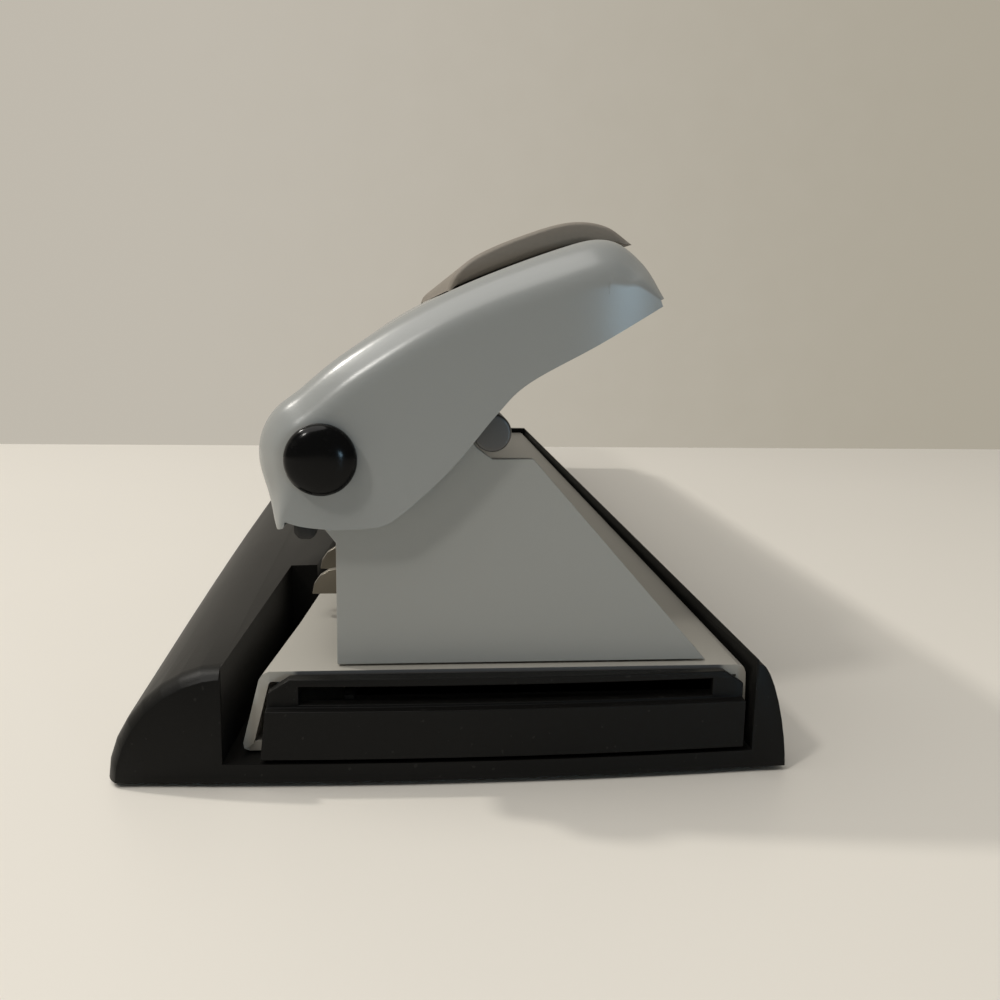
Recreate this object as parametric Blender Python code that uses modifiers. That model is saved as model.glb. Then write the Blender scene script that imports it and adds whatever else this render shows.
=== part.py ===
# A desk punch that makes three holes in a stack of letter paper.
# The origin is on the table under the middle of the base. X runs along the length, the paper comes in
# from -Y, the hand presses at +Y, and Z is up. All sizes are in metres and all angles in radians.

import math

import bmesh
import bpy
import numpy as np
from mathutils import Matrix, Vector

# General clearances and cuts
GAP = 0.0003
RUNNING_GAP = 0.0002
OVERRUN = 0.002
MERGE = 0.000001

# Paper and holes
HOLE_SPACING = 0.108
HOLE_TO_SIDE = 0.0317
PAPER_SIDE_PLAY = 0.0004
HOLE_RADIUS = 0.0035
HOLE_TO_EDGE = 0.0127
THROAT_HEIGHT = 0.002

# Base moulding
BASE_END_MARGIN = 0.0027
END_BOW = 0.002
BASE_LIFT = 0.0008
FLOOR_LIFT = 0.002
FLOOR_THICKNESS = 0.0015
RIM_RISE = 0.00175
REAR_RIM_RISE = 0.001
FRONT_RIM_WIDTH = 0.016
FRONT_RIM_FULLNESS = 1.8
FRONT_RIM_BOW = 0.002
REAR_RIM_WIDTH = 0.0053
REAR_RIM_TOP_WIDTH = 0.0006
REAR_RIM_FULLNESS = 1.5
MOULD_WALL = 0.0022
MOULD_CORNER = 0.0012
FRONT_GROOVE = 0.0022
SHELF_GROOVE = 0.0024
SHELF_TO_HEAD = 0.0095

# Sheet metal chassis
SHEET = 0.0015
DECK_HEIGHT = 0.0156
DECK_END_MARGIN = 0.0017
DECK_NOSE = 0.008
DECK_FRONT_BOW = 0.0095
DECK_REAR = 0.0426
FLANGE_FLARE = 0.003
MIDDLE_FLANGE_FLARE = 0.0012
REAR_FLANGE_FLARE = 0.0004
LIP_WIDTH = 0.006
RUNNER_REACH = 0.005
BEND_RADIUS = 0.0012

# Pivot, handle and grip
PIVOT_Y = -0.0188
SHAFT_RADIUS = 0.0025
PRESS_ANGLE = 0.6
PRESS_PER_RADIAN = 0.0085
HANDLE_WALL = 0.0016
HANDLE_REACH = 0.0467
HANDLE_RISE = 0.0299
HANDLE_DROP = 0.0099
NOSE_RADIUS = 0.0091
SHOULDER_RADIUS = 0.005
PAD_END_INSET = 0.0175
PAD_THICKNESS = 0.0034
CAP_RADIUS = 0.0049
CAP_HEIGHT = 0.0028

# End plates and tie rod
EAR_CLEARANCE = 0.0011
PLATE_FRONT_STEP = 0.0016
SHOULDER_DROP = 0.0124
PLATE_TOP_DROP = 0.0037
PLATE_TOP_RUN = 0.0059
PLATE_REAR_MARGIN = 0.0057
ROD_REACH = 0.0234
ROD_RISE = 0.0033
ROD_RADIUS = 0.0027
ROD_PROUD = 0.0005
FOOT_LENGTH = 0.009

# Punch heads
HEAD_DIE_CLEARANCE = 0.001
HEAD_NOSE_REACH = 0.0044
HEAD_NOSE_HEIGHT = 0.0043
LOWER_GUIDE = 0.002
GUIDE_SPACING = 0.0071
HEAD_FOOT = 0.011

# Pins, dies, clips, springs and press arms
PIN_TOP_DROP = 0.0045
PIN_HEAD_OVERHANG = 0.0012
PIN_HEAD_THICKNESS = 0.0015
PIN_REST_LIFT = 0.001
PIN_NOTCH_DEPTH = 0.0012
CLIP_OVERHANG = 0.0015
CLIP_THICKNESS = 0.0008
CLIP_GROOVE_DEPTH = 0.0005
DIE_FLANGE_RADIUS = 0.0065
DIE_BODY_RADIUS = 0.005
DIE_LENGTH = 0.0048
SPRING_LENGTH = 0.0093
SPRING_WIRE_RADIUS = 0.0004
SPRING_CURLS = 5
SPRING_POINTS = 9
ARM_WIDTH = 0.008

# Chip drawer
DRAWER_TRAVEL_GAP = 0.0006
DRAWER_WALL = 0.0014
DRAWER_FLOOR = 0.0012
DRAWER_BACK_PLAY = 0.0018
DRAWER_FAR_WALL_DROP = 0.0007
DRAWER_SIDE_PLAY = 0.0007
PANEL_LIFT = 0.0006
PANEL_TOP_DROP = 0.0003
PANEL_BAR = 0.0011
PANEL_LEDGE_DROP = 0.0044
PANEL_SLOT_LIFT = 0.0004
PANEL_SLOT_FRONT_INSET = 0.0055
PANEL_SLOT_REAR_INSET = 0.0055
PANEL_CORNER_LENGTH = 0.003
PANEL_CORNER_DROP = 0.002
PANEL_SET_BACK = 0.0016
PANEL_FRONT_GAP = 0.0012

# Small fittings
BUMPER_LENGTH = 0.0055
BUMPER_THICKNESS = 0.0032
BUMPER_HEIGHT = 0.0033
BUMPER_DROP = 0.0022
BUMPER_CORNER = 0.001
WASHER_INSET = 0.0044
WASHER_THICKNESS = 0.0012
RIVET_RADIUS = 0.0012
RIVET_HEAD_RADIUS = 0.0024
RIVET_HEAD_HEIGHT = 0.0009
SCREW_RADIUS = 0.0013
SCREW_HEAD_RADIUS = 0.0027
SCREW_HEAD_HEIGHT = 0.0011
SCREW_INSET = 0.0353
FOOT_RADIUS = 0.006
FOOT_INSET = 0.012

# Outlines as shares, by hand, of the sizes that they follow
HANDLE_TOP_SHARES = (
    (0.073, 0.478), (0.355, 0.742), (0.681, 0.95), (0.846, 1.006), (0.955, 0.90), (1.0, 0.739),
)
HANDLE_UNDER_SHARES = ((0.805, 0.528), (0.602, 0.351), (0.508, 0.207), (0.373, -0.05), (0.212, -0.281))
UNDER_END_SHARE = 0.07
PAD_START_SHARE = 0.373
PAD_END_SHARE = 0.89
PAD_TIP_SHARE = 0.972
PAD_TOP_SHARES = ((0.045, 0.62), (0.17, 1.0), (0.4, 1.08), (0.65, 1.0), (0.85, 0.95))
ARM_ROOT_SHARES = (0.05, 0.3)
LIP_SHARE = 0.68
RIM_TAPER_SHARE = 0.065
RIVET_CROWN_SHARE = 0.6
RIVET_SHOULDER_SHARE = 0.85
CAP_SKIRT_SHARE = 0.3

# Arc and round steps
ROUND_STEPS = 24
SMALL_STEPS = 12
BOW_STEPS = 12
CURVE_STEPS = 3

# Heights that follow from the sizes, from the base's floor up to the pivot
FLOOR_TOP = FLOOR_LIFT + FLOOR_THICKNESS
LIP_HEIGHT = FLOOR_TOP + GAP + SHEET
DRAWER_BOTTOM = LIP_HEIGHT + GAP
SEAT_HEIGHT = DECK_HEIGHT + GAP
DIE_TOP = SEAT_HEIGHT + SHEET
DRAWER_TOP = DIE_TOP - DIE_LENGTH - GAP
THROAT_TOP = DIE_TOP + THROAT_HEIGHT
PIN_BOTTOM = THROAT_TOP + PIN_REST_LIFT
LOWER_GUIDE_TOP = THROAT_TOP + LOWER_GUIDE
UPPER_GUIDE_HEIGHT = LOWER_GUIDE_TOP + GUIDE_SPACING
UPPER_GUIDE_TOP = UPPER_GUIDE_HEIGHT + SHEET
SPRING_BOTTOM = UPPER_GUIDE_TOP + GAP
SPRING_TOP = SPRING_BOTTOM + SPRING_LENGTH
PIN_TOP = SPRING_TOP + GAP + PIN_HEAD_THICKNESS
PIVOT_HEIGHT = PIN_TOP + GAP + PIN_TOP_DROP
PLATE_SHOULDER_HEIGHT = PIVOT_HEIGHT - SHOULDER_DROP
ROD_HEIGHT = PIVOT_HEIGHT + ROD_RISE
PLATE_TOP_HEIGHT = ROD_HEIGHT - PLATE_TOP_DROP
RIM_HEIGHT = DECK_HEIGHT + RIM_RISE
REAR_RIM_HEIGHT = DECK_HEIGHT + REAR_RIM_RISE
PANEL_BOTTOM = FLOOR_TOP + PANEL_LIFT
PANEL_TOP_HEIGHT = DECK_HEIGHT - PANEL_TOP_DROP
PANEL_LEDGE_HEIGHT = DECK_HEIGHT - PANEL_LEDGE_DROP
SLOT_TOP_HEIGHT = PANEL_TOP_HEIGHT - PANEL_BAR
SLOT_BOTTOM_HEIGHT = PANEL_LEDGE_HEIGHT + PANEL_SLOT_LIFT

# Places from the front of the punch to its back
PIN_Y = PIVOT_Y + PRESS_PER_RADIAN
BACK_STOP_Y = PIN_Y + HOLE_TO_EDGE
DECK_MIDDLE_Y = PIN_Y - DECK_NOSE
DECK_CORNER_Y = DECK_MIDDLE_Y - DECK_FRONT_BOW
JAW_FRONT_Y = PIN_Y - DIE_FLANGE_RADIUS + GAP
RIM_INNER_Y = DECK_CORNER_Y - FLANGE_FLARE - FRONT_GROOVE
FRONT_Y = RIM_INNER_Y - FRONT_RIM_WIDTH
BAY_REAR_Y = DECK_REAR + REAR_FLANGE_FLARE + RUNNING_GAP
REAR_Y = BAY_REAR_Y + REAR_RIM_WIDTH
PLATE_FRONT_Y = PIVOT_Y + PLATE_FRONT_STEP
PLATE_REAR_Y = DECK_REAR - PLATE_REAR_MARGIN
ROD_Y = PIVOT_Y + ROD_REACH
PLATE_TOP_REAR_Y = ROD_Y + PLATE_TOP_RUN
PANEL_FRONT_Y = DECK_CORNER_Y + PANEL_FRONT_GAP
PANEL_REAR_Y = DECK_REAR - SHEET / 2
SLOT_FRONT_Y = DECK_CORNER_Y + PANEL_SLOT_FRONT_INSET
SLOT_REAR_Y = DECK_REAR - PANEL_SLOT_REAR_INSET

# Places and widths along the length
PLATE_INNER_X = HOLE_SPACING + HOLE_TO_SIDE + PAPER_SIDE_PLAY
PLATE_OUTER_X = PLATE_INNER_X + SHEET
HANDLE_END_X = PLATE_OUTER_X + WASHER_THICKNESS + 2 * GAP + HANDLE_WALL
PAD_END_X = HANDLE_END_X - PAD_END_INSET
DECK_END_X = PLATE_OUTER_X + DECK_END_MARGIN
BASE_END_X = DECK_END_X + BASE_END_MARGIN
SHELF_END_X = HOLE_SPACING - DIE_FLANGE_RADIUS - HEAD_DIE_CLEARANCE - SHEET - SHELF_TO_HEAD
HEAD_HALF_WIDTH = DIE_FLANGE_RADIUS + HEAD_DIE_CLEARANCE + SHEET

# Radii and cuts that follow from the sizes
EAR_RADIUS = NOSE_RADIUS - HANDLE_WALL - EAR_CLEARANCE
WASHER_RADIUS = NOSE_RADIUS - WASHER_INSET
HUB_RADIUS = PIN_TOP_DROP - GAP
PIN_HEAD_RADIUS = HOLE_RADIUS + PIN_HEAD_OVERHANG
CLIP_RADIUS = HOLE_RADIUS + CLIP_OVERHANG
THROUGH_SHEET = 2 * (SHEET + OVERRUN)
SIDES = (("left", -1), ("right", 1))
STATIONS = (("left", -HOLE_SPACING), ("centre", 0.0), ("right", HOLE_SPACING))
FLAT_IN_YZ = Matrix(((0, 0, 1, 0), (1, 0, 0, 0), (0, 1, 0, 0), (0, 0, 0, 1)))
TURNED_TO_X = Matrix.Rotation(math.pi / 2, 4, "Y")


# Scene and materials


def clear_scene():
    for item in list(bpy.data.objects):
        bpy.data.objects.remove(item, do_unlink=True)


def new_collection(name):
    collection = bpy.data.collections.new(name)
    bpy.context.scene.collection.children.link(collection)
    return collection


def finish(name, colour, roughness, metallic=0.0):
    """A Principled material with one colour."""
    material = bpy.data.materials.get(name) or bpy.data.materials.new(name)
    material.use_nodes = True
    shader = material.node_tree.nodes["Principled BSDF"]
    shader.inputs["Base Color"].default_value = (*colour, 1.0)
    shader.inputs["Roughness"].default_value = roughness
    shader.inputs["Metallic"].default_value = metallic
    return material


def grey_paint():
    return finish("grey_paint", (0.42, 0.45, 0.47), 0.38)


def deck_paint():
    return finish("deck_paint", (0.55, 0.55, 0.53), 0.45)


def black_plastic():
    return finish("black_plastic", (0.022, 0.022, 0.024), 0.55)


def gloss_black():
    return finish("gloss_black", (0.01, 0.01, 0.012), 0.2)


def grip_rubber():
    return finish("grip_rubber", (0.07, 0.06, 0.055), 0.85)


def bumper_rubber():
    return finish("bumper_rubber", (0.015, 0.015, 0.015), 0.8)


def nickel():
    return finish("nickel", (0.66, 0.63, 0.57), 0.25, 1.0)


def tool_steel():
    return finish("tool_steel", (0.55, 0.55, 0.56), 0.3, 1.0)


def dark_steel():
    return finish("dark_steel", (0.05, 0.05, 0.055), 0.4, 0.8)


def zinc():
    return finish("zinc", (0.6, 0.6, 0.62), 0.35, 1.0)


# Shapes


def link(item, collection, material=None):
    collection.objects.link(item)
    if material:
        item.data.materials.append(material)
    return item


def mesh_object(name, mesh, collection, material=None, matrix=None):
    item = bpy.data.objects.new(name, mesh)
    if matrix:
        item.matrix_world = matrix
    mesh.shade_smooth()
    mesh.set_sharp_from_angle(angle=math.radians(30))
    return link(item, collection, material)


def from_bmesh(name, shape, collection, material=None, matrix=None):
    """A bmesh made into an object, with its faces turned outwards."""
    bmesh.ops.recalc_face_normals(shape, faces=shape.faces)
    mesh = bpy.data.meshes.new(name)
    shape.to_mesh(mesh)
    shape.free()
    return mesh_object(name, mesh, collection, material, matrix)


def from_curve(name, curve, collection, material, matrix):
    """A curve object made a closed mesh, with its caps welded on."""
    guide = bpy.data.objects.new(name + "_guide", curve)
    guide.matrix_world = matrix
    bpy.context.scene.collection.objects.link(guide)
    bpy.context.view_layer.update()
    graph = bpy.context.evaluated_depsgraph_get()
    mesh = bpy.data.meshes.new_from_object(guide.evaluated_get(graph))
    mesh.name = name
    shape = bmesh.new()
    shape.from_mesh(mesh)
    bmesh.ops.remove_doubles(shape, verts=shape.verts, dist=MERGE)
    bmesh.ops.recalc_face_normals(shape, faces=shape.faces)
    shape.to_mesh(mesh)
    shape.free()
    mesh.materials.clear()
    bpy.data.objects.remove(guide, do_unlink=True)
    return mesh_object(name, mesh, collection, material, matrix)


def flat_outline(name, outlines, thickness, collection, material=None, matrix=None):
    """Closed outlines in the local XY plane, filled and given a thickness along local Z."""
    curve = bpy.data.curves.new(name, "CURVE")
    curve.dimensions = "2D"
    curve.fill_mode = "BOTH"
    curve.extrude = thickness / 2
    for outline in outlines:
        spline = curve.splines.new("POLY")
        spline.points.add(len(outline) - 1)
        for point, place in zip(spline.points, outline):
            point.co = (place[0], place[1], 0.0, 1.0)
        spline.use_cyclic_u = True
    return from_curve(name, curve, collection, material, matrix or Matrix.Identity(4))


def side_outline(name, outlines, thickness, place, collection, material=None):
    """An outline drawn in Y and Z, with its thickness along X, and its own zero at place."""
    matrix = Matrix.Translation(place) @ FLAT_IN_YZ
    return flat_outline(name, outlines, thickness, collection, material, matrix)


def box(name, low, high, collection, material=None):
    shape = bmesh.new()
    bmesh.ops.create_cube(shape, size=1.0)
    size = Vector(high) - Vector(low)
    centre = (Vector(high) + Vector(low)) / 2
    bmesh.ops.scale(shape, vec=size, verts=shape.verts)
    bmesh.ops.translate(shape, vec=centre, verts=shape.verts)
    return from_bmesh(name, shape, collection, material)


def cylinder(name, radius, length, matrix, collection, material=None, steps=ROUND_STEPS):
    shape = bmesh.new()
    bmesh.ops.create_cone(shape, cap_ends=True, segments=steps, radius1=radius, radius2=radius, depth=length)
    return from_bmesh(name, shape, collection, material, matrix)


def turned(name, profile, matrix, collection, material, steps=ROUND_STEPS, closed=False):
    """A profile of radius and height, run down its outer side, and turned about local Z."""
    mesh = bpy.data.meshes.new(name)
    points = [(radius, 0.0, height) for radius, height in profile]
    edges = [(index, index + 1) for index in range(len(points) - 1)]
    if closed:
        edges.append((len(points) - 1, 0))
    mesh.from_pydata(points, edges, [])
    item = mesh_object(name, mesh, collection, material, matrix)
    screw = item.modifiers.new("turn", "SCREW")
    screw.axis = "Z"
    screw.angle = 2 * math.pi
    screw.steps = steps
    screw.render_steps = steps
    screw.use_merge_vertices = True
    screw.merge_threshold = MERGE
    screw.use_smooth_shade = False
    return item


def ring(name, inner, outer, low, high, matrix, collection, material, steps=ROUND_STEPS):
    profile = ((outer, high), (outer, low), (inner, low), (inner, high))
    return turned(name, profile, matrix, collection, material, steps, closed=True)


def boolean(item, other, operation):
    """A Boolean on the item. Its cutter is hidden and kept with the cutters."""
    modifier = item.modifiers.new(other.name, "BOOLEAN")
    modifier.operation = operation
    modifier.object = other
    other.hide_render = True
    other.display_type = "WIRE"


def cut(item, cutter):
    boolean(item, cutter, "DIFFERENCE")


def unite(item, other):
    boolean(item, other, "UNION")


def rounded(item, width, segments=2, angle=40):
    bevel = item.modifiers.new("rounded edges", "BEVEL")
    bevel.width = width
    bevel.segments = segments
    bevel.limit_method = "ANGLE"
    bevel.angle_limit = math.radians(angle)
    bevel.harden_normals = False


# Outline points


def arc(centre, radius, start, end, steps):
    """Points along an arc, from the start angle to the end angle, both given in degrees."""
    angles = np.radians(np.linspace(start, end, steps + 1))
    return [(centre[0] + radius * math.cos(a), centre[1] + radius * math.sin(a)) for a in angles]


def circle(centre, radius, steps=ROUND_STEPS):
    return arc(centre, radius, 0, 360, steps)[:-1]


def smooth_line(points, steps):
    """A Catmull-Rom curve through the points, with this many steps for each stretch."""
    places = np.array(points, float)
    padded = np.vstack((2 * places[0] - places[1], places, 2 * places[-1] - places[-2]))
    line = []
    for index in range(len(places) - 1):
        before, start, end, after = padded[index : index + 4]
        for step in range(steps):
            t = step / steps
            line.append(
                0.5 * (2 * start + (end - before) * t + (2 * before - 5 * start + 4 * end - after) * t * t
                       + (3 * start - before - 3 * end + after) * t ** 3)
            )
    line.append(places[-1])
    return [tuple(place) for place in line]


def beside(line, distance):
    """The line moved sideways, to the left of the way that it runs, by the distance."""
    places = np.array(line, float)
    runs = np.gradient(places, axis=0)
    runs /= np.linalg.norm(runs, axis=1)[:, None]
    normals = np.stack((-runs[:, 1], runs[:, 0]), axis=1)
    return [tuple(place) for place in places + normals * distance]


def tangent_from(point, centre, radius, side):
    """The angle, in degrees, where a line from the point touches the circle, on the given side."""
    away = Vector((point[0] - centre[0], point[1] - centre[1]))
    spread = math.acos(min(1.0, radius / away.length))
    return math.degrees(math.atan2(away.y, away.x) + side * spread)


# Base moulding


def bow_share(x):
    """1 in the middle of the length and 0 at its ends, for an edge that bows between them."""
    return 1 - min(1.0, abs(x) / BASE_END_X) ** 2


def front_rim_line(inset, x):
    """The outer curve of the front rim at one place, a squarish quarter round from the table to its top."""
    width = FRONT_RIM_WIDTH - inset + FRONT_RIM_BOW * bow_share(x)
    height = RIM_HEIGHT - BASE_LIFT - inset
    power = 2 / FRONT_RIM_FULLNESS
    angles = np.linspace(0, math.pi / 2, 9)
    across = RIM_INNER_Y - width * np.cos(angles) ** power
    up = BASE_LIFT + height * np.sin(angles) ** power
    return list(zip(across, up))


def rear_rim_line():
    """The rear rim from its inner side over its narrow top and down its leaning outer side."""
    top_inner = BAY_REAR_Y + GAP
    lean = REAR_Y - top_inner - REAR_RIM_TOP_WIDTH
    rise = REAR_RIM_HEIGHT - BASE_LIFT
    power = 2 / REAR_RIM_FULLNESS
    angles = np.linspace(math.pi / 2, 0, 9)
    across = REAR_Y - lean + lean * np.cos(angles) ** power
    up = BASE_LIFT + rise * np.sin(angles) ** power
    return [(top_inner, RIM_HEIGHT), (top_inner, REAR_RIM_HEIGHT)] + list(zip(across, up))


def end_line(inset, margin):
    """The bowed right end of the base seen from above, carried past its front and rear by a margin."""
    across = np.linspace(FRONT_Y - margin, REAR_Y + margin, BOW_STEPS + 1)
    share = np.clip((across - FRONT_Y) / (REAR_Y - FRONT_Y) * 2 - 1, -1, 1)
    end = BASE_END_X - inset + END_BOW * (1 - share ** 2)
    return list(zip(end, across))


def plan_outline():
    """What both bowed ends leave of the length, seen from above, wider than the base is."""
    right = end_line(0.0, FRONT_RIM_BOW + OVERRUN)
    return right + [(-x, y) for x, y in right[::-1]]


def underside_outline():
    """The space within the base's skirt, seen from above, with its bowed front edge."""
    right = [place for place in end_line(MOULD_WALL, 0.0) if FRONT_Y + OVERRUN < place[1] < REAR_Y - OVERRUN]
    rear = [(end_line(MOULD_WALL, 0.0)[-1][0], REAR_Y - MOULD_WALL)]
    front = []
    for x in np.linspace(-1, 1, BOW_STEPS + 1) * (BASE_END_X - MOULD_WALL):
        front.append((x, FRONT_Y + MOULD_WALL - FRONT_RIM_BOW * bow_share(x)))
    right = right + rear
    return front + right + [(-x, y) for x, y in right[::-1]]


def bay_outline():
    """The bay for the chassis and the drawer, open at the right end, narrower beside the paper shelf."""
    right = BASE_END_X + END_BOW + OVERRUN
    left = -DECK_END_X - GAP
    step_y = RIM_INNER_Y + RIM_TAPER_SHARE * (BASE_END_X - SHELF_END_X)
    front = [(left, RIM_INNER_Y), (-SHELF_END_X - GAP, step_y)]
    for x in np.linspace(-SHELF_END_X, SHELF_END_X, BOW_STEPS - 1):
        front.append((x, deck_front_y(x) - SHELF_GROOVE))
    front += [(SHELF_END_X + GAP, step_y), (right, RIM_INNER_Y)]
    return front + [(right, BAY_REAR_Y), (left, BAY_REAR_Y)]


def upright_prism(name, outline, low, high, collection):
    matrix = Matrix.Translation((0, 0, (low + high) / 2))
    return flat_outline(name, [outline], high - low, collection, None, matrix)


def loft(name, places, section_at, collection, material=None):
    """A solid whose section, drawn in Y and Z, changes from place to place along X."""
    shape = bmesh.new()
    rows = [[shape.verts.new((x, *point)) for point in section_at(x)] for x in places]
    for row, following in zip(rows, rows[1:]):
        for index in range(len(row)):
            after = (index + 1) % len(row)
            shape.faces.new((row[index], row[after], following[after], following[index]))
    shape.faces.new(rows[0])
    shape.faces.new(rows[-1][::-1])
    bmesh.ops.recalc_face_normals(shape, faces=shape.faces)
    return from_bmesh(name, shape, collection, material)


def base_section(x):
    return front_rim_line(0.0, x) + rear_rim_line()


def rim_hollow_section(x):
    """The space under the front rim, which leaves its wall and its inner side standing."""
    inner_y = RIM_INNER_Y - MOULD_WALL
    line = front_rim_line(MOULD_WALL + GAP, x)[:-1]
    return [(line[0][0], -OVERRUN)] + line + [(inner_y, line[-1][1]), (inner_y, -OVERRUN)]


def make_base(parts, cutters):
    ends = BASE_END_X + END_BOW + OVERRUN
    places = np.linspace(-ends, ends, BOW_STEPS + 1)
    base = loft("base_shell", places, base_section, parts, black_plastic())
    plan = upright_prism("base_plan", plan_outline(), -OVERRUN, REAR_RIM_HEIGHT + OVERRUN, cutters)
    boolean(base, plan, "INTERSECT")
    rounded(base, MOULD_CORNER)
    bay_top = REAR_RIM_HEIGHT + OVERRUN
    cut(base, upright_prism("base_bay", bay_outline(), FLOOR_TOP, bay_top, cutters))
    under = upright_prism("base_underside", underside_outline(), -OVERRUN, FLOOR_LIFT, cutters)
    cut(base, under)
    places = np.linspace(-1, 1, BOW_STEPS + 1) * (BASE_END_X - MOULD_WALL)
    cut(base, loft("base_rim_hollow", places, rim_hollow_section, cutters))
    for index, (x, y) in enumerate(screw_places()):
        matrix = Matrix.Translation((x, y, FLOOR_LIFT))
        radius = SCREW_RADIUS + RUNNING_GAP
        name = f"base_screw_hole_{index}"
        cut(base, cylinder(name, radius, THROUGH_SHEET, matrix, cutters, None, SMALL_STEPS))
    return base


# Chassis


def deck_front_y(x):
    """The front edge of the deck, which bows inwards between its two ends."""
    return DECK_MIDDLE_Y - DECK_FRONT_BOW * (x / DECK_END_X) ** 2


def chassis_section(x):
    """The outer face of the sheet at one place along the chassis, from the front lip to the rear lip."""
    low = LIP_HEIGHT - SHEET
    front = deck_front_y(x)
    flare = MIDDLE_FLANGE_FLARE + (FLANGE_FLARE - MIDDLE_FLANGE_FLARE) * (x / DECK_END_X) ** 2
    rear_foot = DECK_REAR + REAR_FLANGE_FLARE
    lips = ((DECK_MIDDLE_Y + RUNNER_REACH, low), (rear_foot - LIP_WIDTH, low))
    bends = ((front - flare, low), (front, DECK_HEIGHT), (DECK_REAR, DECK_HEIGHT), (rear_foot, low))
    return (lips[0], *bends, lips[1])


def make_chassis(parts, cutters):
    """A C-shaped channel of bent sheet: deck, two flanges, and inward lips that the drawer runs on."""
    rows = len(chassis_section(0.0)) - 1
    shape = bmesh.new()
    bmesh.ops.create_grid(shape, x_segments=BOW_STEPS, y_segments=rows, size=1.0)
    for vert in shape.verts:
        x = vert.co.x * DECK_END_X
        row = round((vert.co.y + 1) / 2 * rows)
        vert.co = (x, *chassis_section(x)[row])
    chassis = from_bmesh("chassis_deck", shape, parts, deck_paint())
    rounded(chassis, BEND_RADIUS, 2, 30)
    solidify = chassis.modifiers.new("sheet", "SOLIDIFY")
    solidify.thickness = SHEET
    solidify.offset = 1.0 if deck_faces_down(chassis) else -1.0
    solidify.use_even_offset = True
    for station, x in STATIONS:
        hole = DIE_BODY_RADIUS + RUNNING_GAP
        matrix = Matrix.Translation((x, PIN_Y, DECK_HEIGHT))
        cut(chassis, cylinder(f"die_seat_{station}", hole, THROUGH_SHEET, matrix, cutters))
    for index, (x, y) in enumerate(rivet_places()):
        matrix = Matrix.Translation((x, y, DECK_HEIGHT))
        radius = RIVET_RADIUS + RUNNING_GAP
        name = f"deck_rivet_hole_{index}"
        cut(chassis, cylinder(name, radius, THROUGH_SHEET, matrix, cutters, None, SMALL_STEPS))
    for index, (x, y) in enumerate(screw_places()):
        matrix = Matrix.Translation((x, y, LIP_HEIGHT))
        radius = SCREW_RADIUS + RUNNING_GAP
        name = f"lip_screw_hole_{index}"
        cut(chassis, cylinder(name, radius, THROUGH_SHEET, matrix, cutters, None, SMALL_STEPS))
    return chassis


def deck_faces_down(chassis):
    """Tells which way the deck's own faces point, so that the sheet grows inwards."""
    deck = max(chassis.data.polygons, key=lambda face: abs(face.normal.z) * face.area * face.center.z)
    return deck.normal.z < 0


# End plates and tie rod


def ear_line(front, shoulder, rear):
    """The edge from the front shoulder, round the ear about the pivot, and on towards the rear point."""
    pivot = (PIVOT_Y, PIVOT_HEIGHT)
    start = tangent_from((front, shoulder), pivot, EAR_RADIUS, -1)
    end = tangent_from(rear, pivot, EAR_RADIUS, 1)
    return [(front, shoulder)] + arc(pivot, EAR_RADIUS, start % 360, end, SMALL_STEPS)


def plate_outline():
    rod_seat = arc((ROD_Y, ROD_HEIGHT), ROD_RADIUS + GAP, 150, 240, 6)
    front = PLATE_FRONT_Y
    outline = [(front, SEAT_HEIGHT)] + ear_line(front, PLATE_SHOULDER_HEIGHT, rod_seat[0]) + rod_seat
    outline += [(ROD_Y, PLATE_TOP_HEIGHT), (PLATE_TOP_REAR_Y, PLATE_TOP_HEIGHT), (PLATE_REAR_Y, SEAT_HEIGHT)]
    return outline


def make_end_plate(name, side, parts, cutters):
    bore = circle((PIVOT_Y, PIVOT_HEIGHT), SHAFT_RADIUS + RUNNING_GAP)
    middle = (PLATE_INNER_X + PLATE_OUTER_X) / 2
    place = (side * middle, 0, 0)
    plate = side_outline(name, [plate_outline(), bore], SHEET, place, parts, grey_paint())
    reach = sorted((side * middle, side * (PLATE_INNER_X - FOOT_LENGTH)))
    low = (reach[0], BACK_STOP_Y, SEAT_HEIGHT)
    high = (reach[1], PLATE_REAR_Y - SHEET, SEAT_HEIGHT + SHEET)
    foot = box(name + "_foot", low, high, cutters)
    unite(plate, foot)
    for index, (x, y) in enumerate(plate_rivet_places(side)):
        matrix = Matrix.Translation((x, y, SEAT_HEIGHT))
        radius = RIVET_RADIUS + RUNNING_GAP
        hole = f"{name}_hole_{index}"
        cut(plate, cylinder(hole, radius, THROUGH_SHEET, matrix, cutters, None, SMALL_STEPS))
    return plate


def make_tie_rod(parts):
    length = 2 * (PLATE_OUTER_X + ROD_PROUD)
    matrix = Matrix.Translation((0, ROD_Y, ROD_HEIGHT)) @ TURNED_TO_X
    return cylinder("tie_rod", ROD_RADIUS, length, matrix, parts, dark_steel())


# Punch heads


def head_outline():
    """One side wall of a punch head: lower jaw, paper throat, round toe, ear for the shaft, and back."""
    front = PIVOT_Y + GAP
    rear = BACK_STOP_Y + SHEET
    toe = front - HEAD_NOSE_REACH
    outline = [(JAW_FRONT_Y, SEAT_HEIGHT), (JAW_FRONT_Y, DIE_TOP)]
    outline += [(BACK_STOP_Y, DIE_TOP), (BACK_STOP_Y, THROAT_TOP)]
    angles = np.linspace(math.pi, math.pi / 2, 5)
    across = front + (front - toe) * np.cos(angles)
    up = THROAT_TOP + HEAD_NOSE_HEIGHT * np.sin(angles)
    outline += list(zip(across, up))
    upper_rear = (rear, UPPER_GUIDE_TOP)
    outline += ear_line(front, PLATE_SHOULDER_HEIGHT, upper_rear)
    outline += [upper_rear, (rear, SEAT_HEIGHT)]
    return outline


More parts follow.
